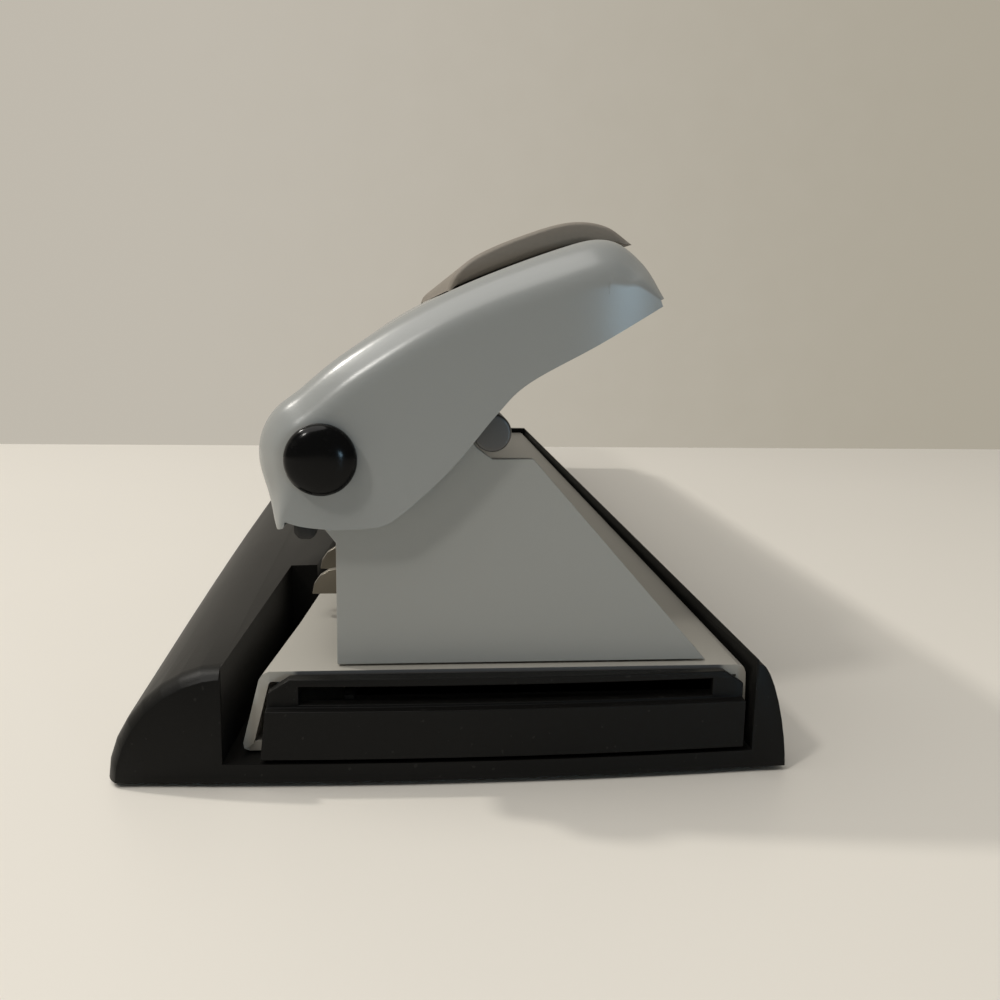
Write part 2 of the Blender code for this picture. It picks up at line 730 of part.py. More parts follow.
def make_punch_head(station, x, parts, cutters):
    """A bracket of bent sheet: two side walls, back wall, two guide shelves and a foot."""
    name = f"punch_head_{station}"
    bore = circle((PIVOT_Y, PIVOT_HEIGHT), SHAFT_RADIUS + RUNNING_GAP)
    wall_x = HEAD_HALF_WIDTH - SHEET / 2
    outlines = [head_outline(), bore]
    head = side_outline(name, outlines, SHEET, (x - wall_x, 0, 0), parts, nickel())
    other = side_outline(name + "_wall", outlines, SHEET, (x + wall_x, 0, 0), cutters)
    unite(head, other)
    left = x - wall_x
    right = x + wall_x
    rear = BACK_STOP_Y + SHEET
    guide_front = PIVOT_Y + SHEET
    shelves = (
        ("back", (left, BACK_STOP_Y, SEAT_HEIGHT), (right, rear, UPPER_GUIDE_TOP)),
        ("lower", (left, guide_front, THROAT_TOP), (right, rear - SHEET / 2, LOWER_GUIDE_TOP)),
        ("upper", (left, guide_front, UPPER_GUIDE_HEIGHT), (right, rear - SHEET / 2, UPPER_GUIDE_TOP)),
        ("foot", (left, rear - SHEET / 2, SEAT_HEIGHT), (right, rear + HEAD_FOOT, SEAT_HEIGHT + SHEET)),
    )
    for shelf, low, high in shelves:
        unite(head, box(f"{name}_{shelf}", low, high, cutters))
    pin_hole = HOLE_RADIUS + RUNNING_GAP
    matrix = Matrix.Translation((x, PIN_Y, UPPER_GUIDE_HEIGHT))
    length = 2 * (UPPER_GUIDE_TOP - THROAT_TOP)
    cut(head, cylinder(f"{name}_guide_hole", pin_hole, length, matrix, cutters))
    for index, (hole_x, hole_y) in enumerate(head_rivet_places(x)):
        matrix = Matrix.Translation((hole_x, hole_y, SEAT_HEIGHT))
        radius = RIVET_RADIUS + RUNNING_GAP
        hole = f"{name}_hole_{index}"
        cut(head, cylinder(hole, radius, THROUGH_SHEET, matrix, cutters, None, SMALL_STEPS))
    return head


def make_die(station, x, parts):
    bore = HOLE_RADIUS + RUNNING_GAP / 2
    low = DIE_TOP - DIE_LENGTH
    profile = (
        (DIE_FLANGE_RADIUS, DIE_TOP),
        (DIE_FLANGE_RADIUS, SEAT_HEIGHT),
        (DIE_BODY_RADIUS, SEAT_HEIGHT),
        (DIE_BODY_RADIUS, low),
        (bore, low),
        (bore, DIE_TOP),
    )
    matrix = Matrix.Translation((x, PIN_Y, 0))
    return turned(f"die_{station}", profile, matrix, parts, tool_steel(), closed=True)


def make_pin(station, x, parts, cutters):
    """A hardened pin with a flat head, a groove for its clip, and a notched cutting end."""
    name = f"punch_pin_{station}"
    groove_high = UPPER_GUIDE_HEIGHT - GAP
    groove_low = groove_high - CLIP_THICKNESS - 2 * RUNNING_GAP
    neck = HOLE_RADIUS - CLIP_GROOVE_DEPTH
    profile = (
        (0.0, PIN_TOP),
        (PIN_HEAD_RADIUS, PIN_TOP),
        (PIN_HEAD_RADIUS, PIN_TOP - PIN_HEAD_THICKNESS),
        (HOLE_RADIUS, PIN_TOP - PIN_HEAD_THICKNESS),
        (HOLE_RADIUS, groove_high),
        (neck, groove_high),
        (neck, groove_low),
        (HOLE_RADIUS, groove_low),
        (HOLE_RADIUS, PIN_BOTTOM),
        (0.0, PIN_BOTTOM),
    )
    profile = [(radius, height - PIN_BOTTOM) for radius, height in profile]
    matrix = Matrix.Translation((x, PIN_Y, PIN_BOTTOM))
    pin = turned(name, profile, matrix, parts, tool_steel())
    reach = HOLE_RADIUS + OVERRUN
    below = -PIN_NOTCH_DEPTH * OVERRUN / HOLE_RADIUS
    notch = [(-reach, below), (0.0, PIN_NOTCH_DEPTH), (reach, below)]
    notch += [(reach, below - OVERRUN), (-reach, below - OVERRUN)]
    cut(pin, side_outline(name + "_notch", [notch], 2 * reach, (x, PIN_Y, PIN_BOTTOM), cutters))
    return pin


def make_clip(station, x, parts):
    inner = HOLE_RADIUS - CLIP_GROOVE_DEPTH + RUNNING_GAP / 2
    high = UPPER_GUIDE_HEIGHT - GAP - RUNNING_GAP
    matrix = Matrix.Translation((x, PIN_Y, 0))
    low = high - CLIP_THICKNESS
    return ring(f"pin_clip_{station}", inner, CLIP_RADIUS, low, high, matrix, parts, zinc())


def spring_points():
    """The spring's centre line, a helix of even pitch from the guide shelf up to the pin's head."""
    low = SPRING_BOTTOM + SPRING_WIRE_RADIUS
    high = SPRING_TOP - SPRING_WIRE_RADIUS
    radius = (PIN_HEAD_RADIUS + HOLE_RADIUS) / 2 + SPRING_WIRE_RADIUS
    share = np.linspace(0, 1, SPRING_CURLS * SPRING_POINTS + 1)
    angles = 2 * math.pi * SPRING_CURLS * share
    return np.stack((radius * np.cos(angles), radius * np.sin(angles), low + (high - low) * share), axis=1)


def make_spring(station, x, parts):
    points = spring_points()
    curve = bpy.data.curves.new(f"pin_spring_{station}", "CURVE")
    curve.dimensions = "3D"
    curve.bevel_depth = SPRING_WIRE_RADIUS
    curve.bevel_resolution = 1
    curve.use_fill_caps = True
    spline = curve.splines.new("POLY")
    spline.points.add(len(points) - 1)
    for point, place in zip(spline.points, points):
        point.co = (*place, 1.0)
    matrix = Matrix.Translation((x, PIN_Y, 0))
    return from_curve(f"pin_spring_{station}", curve, parts, zinc(), matrix)


def print_spring_gap():
    """Prints the least gap between two curls of one spring."""
    points = spring_points()
    apart = np.linalg.norm(points[:, None] - points[None], axis=2)
    steps = np.abs(np.subtract.outer(np.arange(len(points)), np.arange(len(points))))
    least = apart[steps > SPRING_POINTS // 2].min() - 2 * SPRING_WIRE_RADIUS
    print(f"least gap between the curls of a spring: {least * 1000:.2f} mm")


# Handle


def handle_top_line():
    """The upper edge of the handle's side: lip, nose about the pivot, long crown, and tip."""
    lip = (-NOSE_RADIUS * LIP_SHARE, -HANDLE_DROP)
    nose = arc((0.0, 0.0), NOSE_RADIUS, 200, 118, 7)
    crown = [(y * HANDLE_REACH, z * HANDLE_RISE) for y, z in HANDLE_TOP_SHARES]
    return [lip] + nose[:-1] + smooth_line([nose[-1]] + crown, CURVE_STEPS)


def handle_under_line():
    """The lower edge of the handle's side, from just behind the tip back to the lip."""
    under = [(y * HANDLE_REACH, z * HANDLE_RISE) for y, z in HANDLE_UNDER_SHARES]
    return smooth_line(under, CURVE_STEPS) + [(HANDLE_REACH * UNDER_END_SHARE, -HANDLE_DROP)]


def make_handle(parts, cutters):
    """A pressed shell, open below, with rounded shoulders and a cheek at each end."""
    top = handle_top_line()
    under = handle_under_line()
    half = HANDLE_END_X
    outline = top + under
    shape = bmesh.new()
    verts = [shape.verts.new((-half, y, z)) for y, z in outline]
    cheek = shape.faces.new(verts)
    grown = bmesh.ops.extrude_face_region(shape, geom=[cheek])
    moved = [item for item in grown["geom"] if isinstance(item, bmesh.types.BMVert)]
    bmesh.ops.translate(shape, vec=(2 * half, 0, 0), verts=moved)
    if len(shape.faces) == len(outline) + 1:
        shape.faces.new([vert for vert in verts])
    shape.verts.ensure_lookup_table()
    shape.faces.ensure_lookup_table()
    bmesh.ops.recalc_face_normals(shape, faces=shape.faces)
    top_places = {(round(y, 7), round(z, 7)) for y, z in top}

    def on_top(vert):
        return (round(vert.co.y, 7), round(vert.co.z, 7)) in top_places

    shoulder = [
        edge
        for edge in shape.edges
        if abs(edge.verts[0].co.x - edge.verts[1].co.x) < MERGE and all(on_top(vert) for vert in edge.verts)
    ]
    below = [
        face
        for face in shape.faces
        if abs(face.normal.x) < 0.5 and not all(on_top(vert) for vert in face.verts)
    ]
    bmesh.ops.delete(shape, geom=below, context="FACES")
    bmesh.ops.bevel(
        shape,
        geom=shoulder,
        offset=SHOULDER_RADIUS,
        segments=4,
        profile=0.5,
        affect="EDGES",
        clamp_overlap=False,
    )
    matrix = Matrix.Translation((0, PIVOT_Y, PIVOT_HEIGHT))
    mesh = bpy.data.meshes.new("handle_shell")
    shape.to_mesh(mesh)
    shape.free()
    handle = mesh_object("handle_shell", mesh, parts, grey_paint(), matrix)
    solidify = handle.modifiers.new("wall", "SOLIDIFY")
    solidify.thickness = HANDLE_WALL
    solidify.offset = -1.0
    solidify.use_even_offset = True
    for word, side in SIDES:
        place = Matrix.Translation((side * half, PIVOT_Y, PIVOT_HEIGHT)) @ TURNED_TO_X
        radius = SHAFT_RADIUS + RUNNING_GAP
        cut(handle, cylinder(f"handle_bore_{word}", radius, THROUGH_SHEET, place, cutters))
    return handle


def make_pad(parts):
    """The soft grip: its underside follows the handle's crown, and its back edge hangs over the tip."""
    crown = np.array([place for place in handle_top_line() if place[1] > 0])
    ends = [share * HANDLE_REACH for share in (PAD_START_SHARE, PAD_END_SHARE)]
    across = [y for y in crown[:, 0] if ends[0] + MERGE < y < ends[1] - MERGE]
    across = [ends[0]] + across + [ends[1]]
    seat = beside(list(zip(across, np.interp(across, crown[:, 0], crown[:, 1]))), GAP)
    tip = (PAD_TIP_SHARE * HANDLE_REACH, seat[-1][1])
    run = tip[0] - seat[0][0]
    rise = np.array(seat)
    upper = []
    for along, height in PAD_TOP_SHARES:
        y = seat[0][0] + along * run
        base = np.interp(y, rise[:, 0], rise[:, 1])
        upper.append((y, base + height * PAD_THICKNESS))
    outline = smooth_line([seat[0]] + upper + [tip], 2)[1:] + seat[::-1]
    place = (0, PIVOT_Y, PIVOT_HEIGHT)
    pad = side_outline("grip_pad", [outline], 2 * PAD_END_X, place, parts, grip_rubber())
    return pad


def cam_line():
    """The arm's working edge: an involute of the press circle, so that the pins move in step with it."""
    angles = np.linspace(0, PRESS_ANGLE, 7)
    drop = PIN_TOP_DROP + PRESS_PER_RADIAN * angles
    across = PRESS_PER_RADIAN * np.cos(angles) + drop * np.sin(angles)
    up = PRESS_PER_RADIAN * np.sin(angles) - drop * np.cos(angles)
    return list(zip(across, up))


def make_press_arm(station, x, parts):
    """A thick plate on the shaft, welded under the handle, that pushes one pin down."""
    crown = np.array(handle_top_line())
    ceiling = beside([tuple(place) for place in crown], -(HANDLE_WALL + GAP))
    low, high = (share * HANDLE_REACH for share in ARM_ROOT_SHARES)
    root = [place for place in ceiling if low < place[0] < high and place[1] > 0]
    working = cam_line()
    hub = arc((0.0, 0.0), HUB_RADIUS, 150, 270, 8)
    outline = hub + working + [(working[-1][0], 0.0)] + root[::-1]
    bore = circle((0.0, 0.0), SHAFT_RADIUS + RUNNING_GAP)
    place = (x, PIVOT_Y, PIVOT_HEIGHT)
    return side_outline(f"press_arm_{station}", [outline, bore], ARM_WIDTH, place, parts, dark_steel())


# Shaft, caps, washers and bumpers


def make_shaft(parts):
    length = 2 * HANDLE_END_X + CAP_HEIGHT
    matrix = Matrix.Translation((0, PIVOT_Y, PIVOT_HEIGHT)) @ TURNED_TO_X
    return cylinder("pivot_shaft", SHAFT_RADIUS, length, matrix, parts, zinc())


def make_cap(name, side, parts):
    """A domed cap pressed onto the shaft's end."""
    angles = np.linspace(0, math.pi / 2, 7)
    skirt = CAP_HEIGHT * CAP_SKIRT_SHARE
    dome = CAP_HEIGHT - skirt
    profile = [(0.0, CAP_HEIGHT)]
    profile += [(CAP_RADIUS * math.sin(a), skirt + dome * math.cos(a)) for a in angles[1:]]
    bore = SHAFT_RADIUS + RUNNING_GAP
    depth = CAP_HEIGHT / 2 + GAP
    profile += [(CAP_RADIUS, 0.0), (bore, 0.0), (bore, depth), (0.0, depth)]
    turn = Matrix.Rotation(side * math.pi / 2, 4, "Y")
    matrix = Matrix.Translation((side * (HANDLE_END_X + GAP), PIVOT_Y, PIVOT_HEIGHT)) @ turn
    return turned(name, profile, matrix, parts, gloss_black())


def make_washer(name, side, parts):
    centre = (PLATE_OUTER_X + HANDLE_END_X - HANDLE_WALL) / 2
    matrix = Matrix.Translation((side * centre, PIVOT_Y, PIVOT_HEIGHT)) @ TURNED_TO_X
    half = WASHER_THICKNESS / 2
    inner = SHAFT_RADIUS + RUNNING_GAP
    return ring(name, inner, WASHER_RADIUS, -half, half, matrix, parts, zinc())


def make_bumper(name, side, parts):
    """A rubber block inside the handle's lip, which meets the end plate when the handle comes up."""
    front = PIVOT_Y - NOSE_RADIUS * LIP_SHARE + HANDLE_WALL + GAP
    outer = PLATE_OUTER_X - RUNNING_GAP
    reach = sorted((side * outer, side * (outer - BUMPER_LENGTH)))
    bottom = PIVOT_HEIGHT - HANDLE_DROP - BUMPER_DROP
    low = (reach[0], front, bottom)
    high = (reach[1], front + BUMPER_THICKNESS, bottom + BUMPER_HEIGHT)
    bumper = box(name, low, high, parts, bumper_rubber())
    rounded(bumper, BUMPER_CORNER)
    return bumper


# Fasteners and feet


def head_rivet_places(x):
    y = BACK_STOP_Y + SHEET + HEAD_FOOT / 2
    half = HEAD_HALF_WIDTH / 2
    return [(x - half, y), (x + half, y)]


def plate_rivet_places(side):
    x = side * (PLATE_INNER_X - FOOT_LENGTH / 2)
    return [(x, BACK_STOP_Y + FOOT_LENGTH), (x, PLATE_REAR_Y - FOOT_LENGTH)]


def rivet_places():
    places = []
    for _, x in STATIONS:
        places += head_rivet_places(x)
    for _, side in SIDES:
        places += plate_rivet_places(side)
    return places


def screw_places():
    x = DECK_END_X - SCREW_INSET
    front = deck_front_y(x) + LIP_WIDTH / 2
    rear = DECK_REAR + REAR_FLANGE_FLARE - LIP_WIDTH / 2 - SHEET / 2
    return [(-x, front), (x, front), (-x, rear), (x, rear)]


def foot_places():
    x = BASE_END_X - FOOT_INSET
    front = RIM_INNER_Y + FOOT_RADIUS
    rear = REAR_Y - FOOT_INSET
    return [(-x, front), (-x, rear), (x, front), (x, rear)]


def make_rivet(name, x, y, parts):
    """A round-headed rivet, set through a foot and the deck below it."""
    top = SEAT_HEIGHT + SHEET + GAP
    bottom = DECK_HEIGHT - SHEET
    profile = (
        (0.0, top + RIVET_HEAD_HEIGHT),
        (RIVET_HEAD_RADIUS * RIVET_CROWN_SHARE, top + RIVET_HEAD_HEIGHT * RIVET_SHOULDER_SHARE),
        (RIVET_HEAD_RADIUS, top),
        (RIVET_RADIUS, top),
        (RIVET_RADIUS, bottom),
        (0.0, bottom),
    )
    return turned(name, profile, Matrix.Translation((x, y, 0)), parts, zinc(), SMALL_STEPS)


def make_screw(name, x, y, parts):
    """A flat-headed screw from below, through the base's floor into a chassis lip."""
    seat = FLOOR_LIFT - GAP
    profile = (
        (0.0, LIP_HEIGHT),
        (SCREW_RADIUS, LIP_HEIGHT),
        (SCREW_RADIUS, seat),
        (SCREW_HEAD_RADIUS, seat),
        (SCREW_HEAD_RADIUS, seat - SCREW_HEAD_HEIGHT),
        (0.0, seat - SCREW_HEAD_HEIGHT),
    )
    return turned(name, profile, Matrix.Translation((x, y, 0)), parts, zinc(), SMALL_STEPS)


def make_foot(name, x, y, parts):
    height = FLOOR_LIFT - GAP
    matrix = Matrix.Translation((x, y, height / 2))
    return cylinder(name, FOOT_RADIUS, height, matrix, parts, bumper_rubber())


# Chip drawer


def panel_outline():
    """The drawer's end panel, with its two upper corners cut off."""
    front = PANEL_FRONT_Y
    rear = PANEL_REAR_Y
    shoulder = PANEL_TOP_HEIGHT - PANEL_CORNER_DROP
    outline = [(front - PANEL_CORNER_DROP / 2, PANEL_BOTTOM), (rear, PANEL_BOTTOM), (rear, shoulder)]
    outline += [(rear - PANEL_CORNER_LENGTH, PANEL_TOP_HEIGHT)]
    outline += [(front + PANEL_CORNER_LENGTH, PANEL_TOP_HEIGHT), (front, shoulder)]
    return outline


def ledge_outline(outer_x):
    """What is taken off the panel's outer face above its ledge, seen from above."""
    face = end_line(PANEL_SET_BACK, 0.0)
    return [(outer_x, FRONT_Y), (outer_x, REAR_Y)] + face[::-1]


def make_drawer(parts, cutters):
    """The chip drawer: an open tray that runs on the chassis lips, behind a bowed end panel."""
    near = DECK_END_X + DRAWER_TRAVEL_GAP
    far = -DECK_END_X + DRAWER_BACK_PLAY
    front = DECK_MIDDLE_Y + DRAWER_SIDE_PLAY + SHEET
    rear = DECK_REAR - SHEET - DRAWER_SIDE_PLAY
    high = (near + GAP, rear, DRAWER_TOP)
    drawer = box("chip_drawer", (far, front, DRAWER_BOTTOM), high, parts, black_plastic())
    inner_low = (far + DRAWER_WALL, front + DRAWER_WALL, DRAWER_BOTTOM + DRAWER_FLOOR)
    inner_high = (near - DRAWER_WALL, rear - DRAWER_WALL, DRAWER_TOP + OVERRUN)
    cut(drawer, box("drawer_hollow", inner_low, inner_high, cutters))
    low_far = (far - OVERRUN, front - OVERRUN, DRAWER_TOP - DRAWER_FAR_WALL_DROP)
    high_far = (far + DRAWER_WALL + OVERRUN, rear + OVERRUN, DRAWER_TOP + OVERRUN)
    cut(drawer, box("drawer_far_drop", low_far, high_far, cutters))
    low_near = (near - DRAWER_WALL - OVERRUN, front + DRAWER_WALL, SLOT_BOTTOM_HEIGHT)
    high_near = (near + OVERRUN, rear - DRAWER_WALL, DRAWER_TOP + OVERRUN)
    cut(drawer, box("drawer_near_drop", low_near, high_near, cutters))
    panel_end = BASE_END_X + END_BOW + OVERRUN
    centre = (near + panel_end) / 2
    panel = side_outline("drawer_panel", [panel_outline()], panel_end - near, (centre, 0, 0), cutters)
    plan = upright_prism("panel_plan", plan_outline(), -OVERRUN, REAR_RIM_HEIGHT + OVERRUN, cutters)
    boolean(panel, plan, "INTERSECT")
    ledge = ledge_outline(panel_end + OVERRUN)
    cut(panel, upright_prism("panel_ledge", ledge, PANEL_LEDGE_HEIGHT, DECK_HEIGHT, cutters))
    low_slot = (near - OVERRUN, SLOT_FRONT_Y, SLOT_BOTTOM_HEIGHT)
    high_slot = (panel_end + OVERRUN, SLOT_REAR_Y, SLOT_TOP_HEIGHT)
    cut(panel, box("panel_slot", low_slot, high_slot, cutters))
    unite(drawer, panel)
    return drawer


def main():
    clear_scene()
    parts = new_collection("three_hole_punch")
    cutters = new_collection("cutters")
    cutters.hide_render = True
    make_base(parts, cutters)
    make_chassis(parts, cutters)
    make_drawer(parts, cutters)
    for word, side in SIDES:
        make_end_plate(f"end_plate_{word}", side, parts, cutters)
        make_cap(f"pivot_cap_{word}", side, parts)
        make_washer(f"pivot_washer_{word}", side, parts)
        make_bumper(f"handle_bumper_{word}", side, parts)
    for station, x in STATIONS:
        make_punch_head(station, x, parts, cutters)
        make_die(station, x, parts)
        make_pin(station, x, parts, cutters)
        make_clip(station, x, parts)
        make_spring(station, x, parts)
        make_press_arm(station, x, parts)
    make_tie_rod(parts)
    make_shaft(parts)
    make_handle(parts, cutters)
    make_pad(parts)
    for index, (x, y) in enumerate(rivet_places(), 1):
        make_rivet(f"rivet_{index}", x, y, parts)
    for index, (x, y) in enumerate(screw_places(), 1):
        make_screw(f"base_screw_{index}", x, y, parts)
    for index, (x, y) in enumerate(foot_places(), 1):
        make_foot(f"rubber_foot_{index}", x, y, parts)
    print_spring_gap()


main()
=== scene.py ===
# A desk punch for three holes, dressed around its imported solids.
# Metres throughout, in the frame of the solids: X along the length, the paper comes from -Y, Z is up.

import math

import bmesh
import bpy
import numpy as np
from mathutils import Matrix, Vector


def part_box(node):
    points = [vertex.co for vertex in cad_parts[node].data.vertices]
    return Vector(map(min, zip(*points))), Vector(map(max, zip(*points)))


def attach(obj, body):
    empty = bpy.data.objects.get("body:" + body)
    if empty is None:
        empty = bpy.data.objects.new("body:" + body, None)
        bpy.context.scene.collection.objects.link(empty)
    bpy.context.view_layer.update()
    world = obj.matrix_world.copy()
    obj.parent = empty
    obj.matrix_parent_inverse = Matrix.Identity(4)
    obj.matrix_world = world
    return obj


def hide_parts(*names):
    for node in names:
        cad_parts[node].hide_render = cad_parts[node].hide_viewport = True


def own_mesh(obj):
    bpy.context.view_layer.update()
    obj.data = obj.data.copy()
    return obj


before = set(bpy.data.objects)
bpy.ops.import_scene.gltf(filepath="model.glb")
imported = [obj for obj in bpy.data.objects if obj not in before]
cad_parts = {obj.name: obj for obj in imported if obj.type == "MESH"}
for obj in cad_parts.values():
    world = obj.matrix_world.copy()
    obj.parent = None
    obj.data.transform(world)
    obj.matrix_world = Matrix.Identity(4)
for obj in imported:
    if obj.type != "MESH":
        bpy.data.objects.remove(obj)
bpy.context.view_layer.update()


# The shot
# The camera stands low at the near end, a hand's width above the table, and looks slightly down
# along the punch. A wall closes the view behind the table.

SENSOR_MM = 36.0
LENS_MM = 36.0
NEAREST = 0.01
CAMERA_PLACE = (0.2799, -0.0075, 0.0660)
CAMERA_YAW = 0.0962
CAMERA_PITCH = 0.1853
CAMERA_ROLL = 0.01807


def camera_matrix(place, yaw, pitch, roll):
    """Yaw turns the view from -X towards +Y, pitch lowers it, and roll turns the picture."""
    level = Vector((-math.cos(yaw), math.sin(yaw), 0))
    side = Vector((math.sin(yaw), math.cos(yaw), 0))
    upright = Vector((0, 0, 1))
    ahead = level * math.cos(pitch) - upright * math.sin(pitch)
    above = upright * math.cos(pitch) + level * math.sin(pitch)
    right = side * math.cos(roll) + above * math.sin(roll)
    up = above * math.cos(roll) - side * math.sin(roll)
    turn = Matrix((right, up, -ahead)).transposed().to_4x4()
    return Matrix.Translation(place) @ turn


view = bpy.data.cameras.new("view")
view.sensor_width = SENSOR_MM
view.lens = LENS_MM
view.clip_start = NEAREST
camera = bpy.data.objects.new("camera", view)
camera.matrix_world = camera_matrix(CAMERA_PLACE, CAMERA_YAW, CAMERA_PITCH, CAMERA_ROLL)
bpy.context.scene.collection.objects.link(camera)
bpy.context.scene.camera = camera
bpy.context.scene.view_settings.view_transform = "Standard"


class Wire:
    """One socket of a material, so that maths on sockets reads as plain maths."""

    def __init__(self, finish, socket):
        self.finish = finish
        self.socket = socket

    def maths(self, operation, first, second=0.0):
        return self.finish.node("ShaderNodeMath", {"operation": operation}, {0: first, 1: second})

    def __add__(self, other):
        return self.maths("ADD", self, other)

    def __radd__(self, other):
        return self.maths("ADD", other, self)

    def __rsub__(self, other):
        return self.maths("SUBTRACT", other, self)

    def __mul__(self, other):
        return self.maths("MULTIPLY", self, other)

    def __rmul__(self, other):
        return self.maths("MULTIPLY", other, self)

    def above(self, edge, width):
        """0 below the edge and 1 past it, with a soft change of the given width."""
        sockets = {0: self, 1: edge, 2: edge + width}
        return self.finish.node("ShaderNodeMapRange", {"interpolation_type": "SMOOTHSTEP"}, sockets)


class Finish:
    """A material being made, with its own Principled shader and one method for every node."""

    def __init__(self, name, colour, roughness, metallic=0.0, **sockets):
        self.material = bpy.data.materials.new(name)
        self.material.use_nodes = True
        self.tree = self.material.node_tree
        self.shader = self.tree.nodes["Principled BSDF"]
        self.set("Base Color", (*colour, 1.0))
        self.set("Roughness", roughness)
        self.set("Metallic", metallic)
        for socket, value in sockets.items():
            self.set(socket.replace("_", " "), value)

    def set(self, name, value):
        """Gives one of the shader's sockets a value or a link."""
        if isinstance(value, Wire):
            self.tree.links.new(value.socket, self.shader.inputs[name])
        else:
            self.shader.inputs[name].default_value = value

    def node(self, kind, settings=None, sockets=None, outlet=0):
        """A node of this kind. Its settings come first, then its sockets' values or links."""
        made = self.tree.nodes.new(kind)
        for key, value in (settings or {}).items():
            setattr(made, key, value)
        for key, value in (sockets or {}).items():
            if isinstance(value, Wire):
                self.tree.links.new(value.socket, made.inputs[key])
            else:
                made.inputs[key].default_value = value
        return Wire(self, made.outputs[outlet])

    def place(self):
        return self.node("ShaderNodeTexCoord", outlet="Object")

    def coordinate(self, axis):
        """One coordinate of the place: 0 along the punch, 1 across it, 2 up."""
        return self.node("ShaderNodeSeparateXYZ", None, {0: self.place()}, outlet=axis)

    def stretched(self, scale):
        """The place scaled on each axis, for marks that run one way."""
        return self.node("ShaderNodeMapping", None, {"Vector": self.place(), "Scale": scale})

    def noise(self, scale, detail=2.0, roughness=0.5, place=None):
        sockets = {"Vector": place or self.place(), "Scale": scale, "Detail": detail, "Roughness": roughness}
        return self.node("ShaderNodeTexNoise", None, sockets)

    def cells(self, scale):
        return self.node("ShaderNodeTexVoronoi", None, {"Vector": self.place(), "Scale": scale})

    def mix(self, share, first, second):
        """A colour between two colours."""
        first = (*first, 1.0) if isinstance(first, tuple) else first
        second = (*second, 1.0) if isinstance(second, tuple) else second
        sockets = {0: share, 6: first, 7: second}
        return self.node("ShaderNodeMix", {"data_type": "RGBA"}, sockets, outlet=2)

    def bump(self, height, depth, strength=1.0):
        """Tilts the light on the surface as if it stood out by the depth where the height is 1."""
        sockets = {"Strength": strength, "Distance": depth, "Height": height}
        self.set("Normal", self.node("ShaderNodeBump", None, sockets))


def shade(colour, factor):
    """A darker or lighter colour of the same hue."""
    return tuple(value * factor for value in colour)


# Table, wall and light
# The punch stands on a plain pale table before a plain warm wall. Two small lamps stand on its
# paper side, one behind it and one before it, under a broad ceiling light, and a cool window
# beyond the camera gives the blue gleam on the lever's tip.

TABLE_COLOUR = (0.80, 0.765, 0.70)
WALL_LEFT_COLOUR = (0.525, 0.487, 0.42)
WALL_RIGHT_COLOUR = (0.41, 0.375, 0.305)
WALL_X = -0.215
TABLE_SPAN = 3.0
WALL_SPAN = 1.6
TABLE_MOTTLE = 0.015
WALL_FADE_BEFORE = 0.12
WALL_FADE_PER_METRE = 2.2
PLASTER_MARK = 0.12
LAMP_TARGET = Vector((0.0, 0.0, 0.03))
ROOM_COLOUR = (0.14, 0.137, 0.131)


def flat_sheet(name, corners, material):
    """One flat face of the stage, which isn't part of the punch."""
    mesh = bpy.data.meshes.new(name)
    mesh.from_pydata(corners, [], [(0, 1, 2, 3)])
    item = bpy.data.objects.new(name, mesh)
    bpy.context.scene.collection.objects.link(item)
    mesh.materials.append(material)
    return item


table_finish = Finish("table_white", TABLE_COLOUR, 0.42)
cloudy = table_finish.noise(7.0, 3.0)
dull, bright = shade(TABLE_COLOUR, 1 - TABLE_MOTTLE), shade(TABLE_COLOUR, 1 + TABLE_MOTTLE)
table_finish.set("Base Color", table_finish.mix(cloudy, dull, bright))
table_finish.set("Roughness", 0.36 + 0.12 * cloudy)
table_corners = [(TABLE_SPAN * x, TABLE_SPAN * y, 0) for x, y in ((-1, -1), (1, -1), (1, 1), (-1, 1))]
flat_sheet("table", table_corners, table_finish.material)

# The wall glows on its front only. It neither gives nor takes light, casts no shadow, and is clear
# from behind.
wall_finish = Finish("wall_warm", WALL_LEFT_COLOUR, 1.0)
plaster = wall_finish.noise(60.0, 4.0)
# Its glow fades from lighter on the left to darker on the right: painted shade of the room's light falling
# off across the wall.
tone = (wall_finish.coordinate(1) + WALL_FADE_BEFORE) * WALL_FADE_PER_METRE + PLASTER_MARK * plaster
wall_colour = wall_finish.mix(tone.above(0.0, 1.0), WALL_LEFT_COLOUR, WALL_RIGHT_COLOUR)
glow = wall_finish.node("ShaderNodeEmission", None, {"Color": wall_colour, "Strength": 1.0})
clear = wall_finish.node("ShaderNodeBsdfTransparent")
behind = wall_finish.node("ShaderNodeNewGeometry", outlet="Backfacing")
one_sided = wall_finish.node("ShaderNodeMixShader", None, {0: behind, 1: glow, 2: clear})
outlet = wall_finish.tree.nodes["Material Output"]
wall_finish.tree.links.new(one_sided.socket, outlet.inputs["Surface"])
wall_corners = [(WALL_X, TABLE_SPAN * y, WALL_SPAN * z) for y, z in ((-1, 0), (1, 0), (1, 1), (-1, 1))]
wall = flat_sheet("wall", wall_corners, wall_finish.material)
wall.visible_shadow = False
wall.visible_diffuse = False

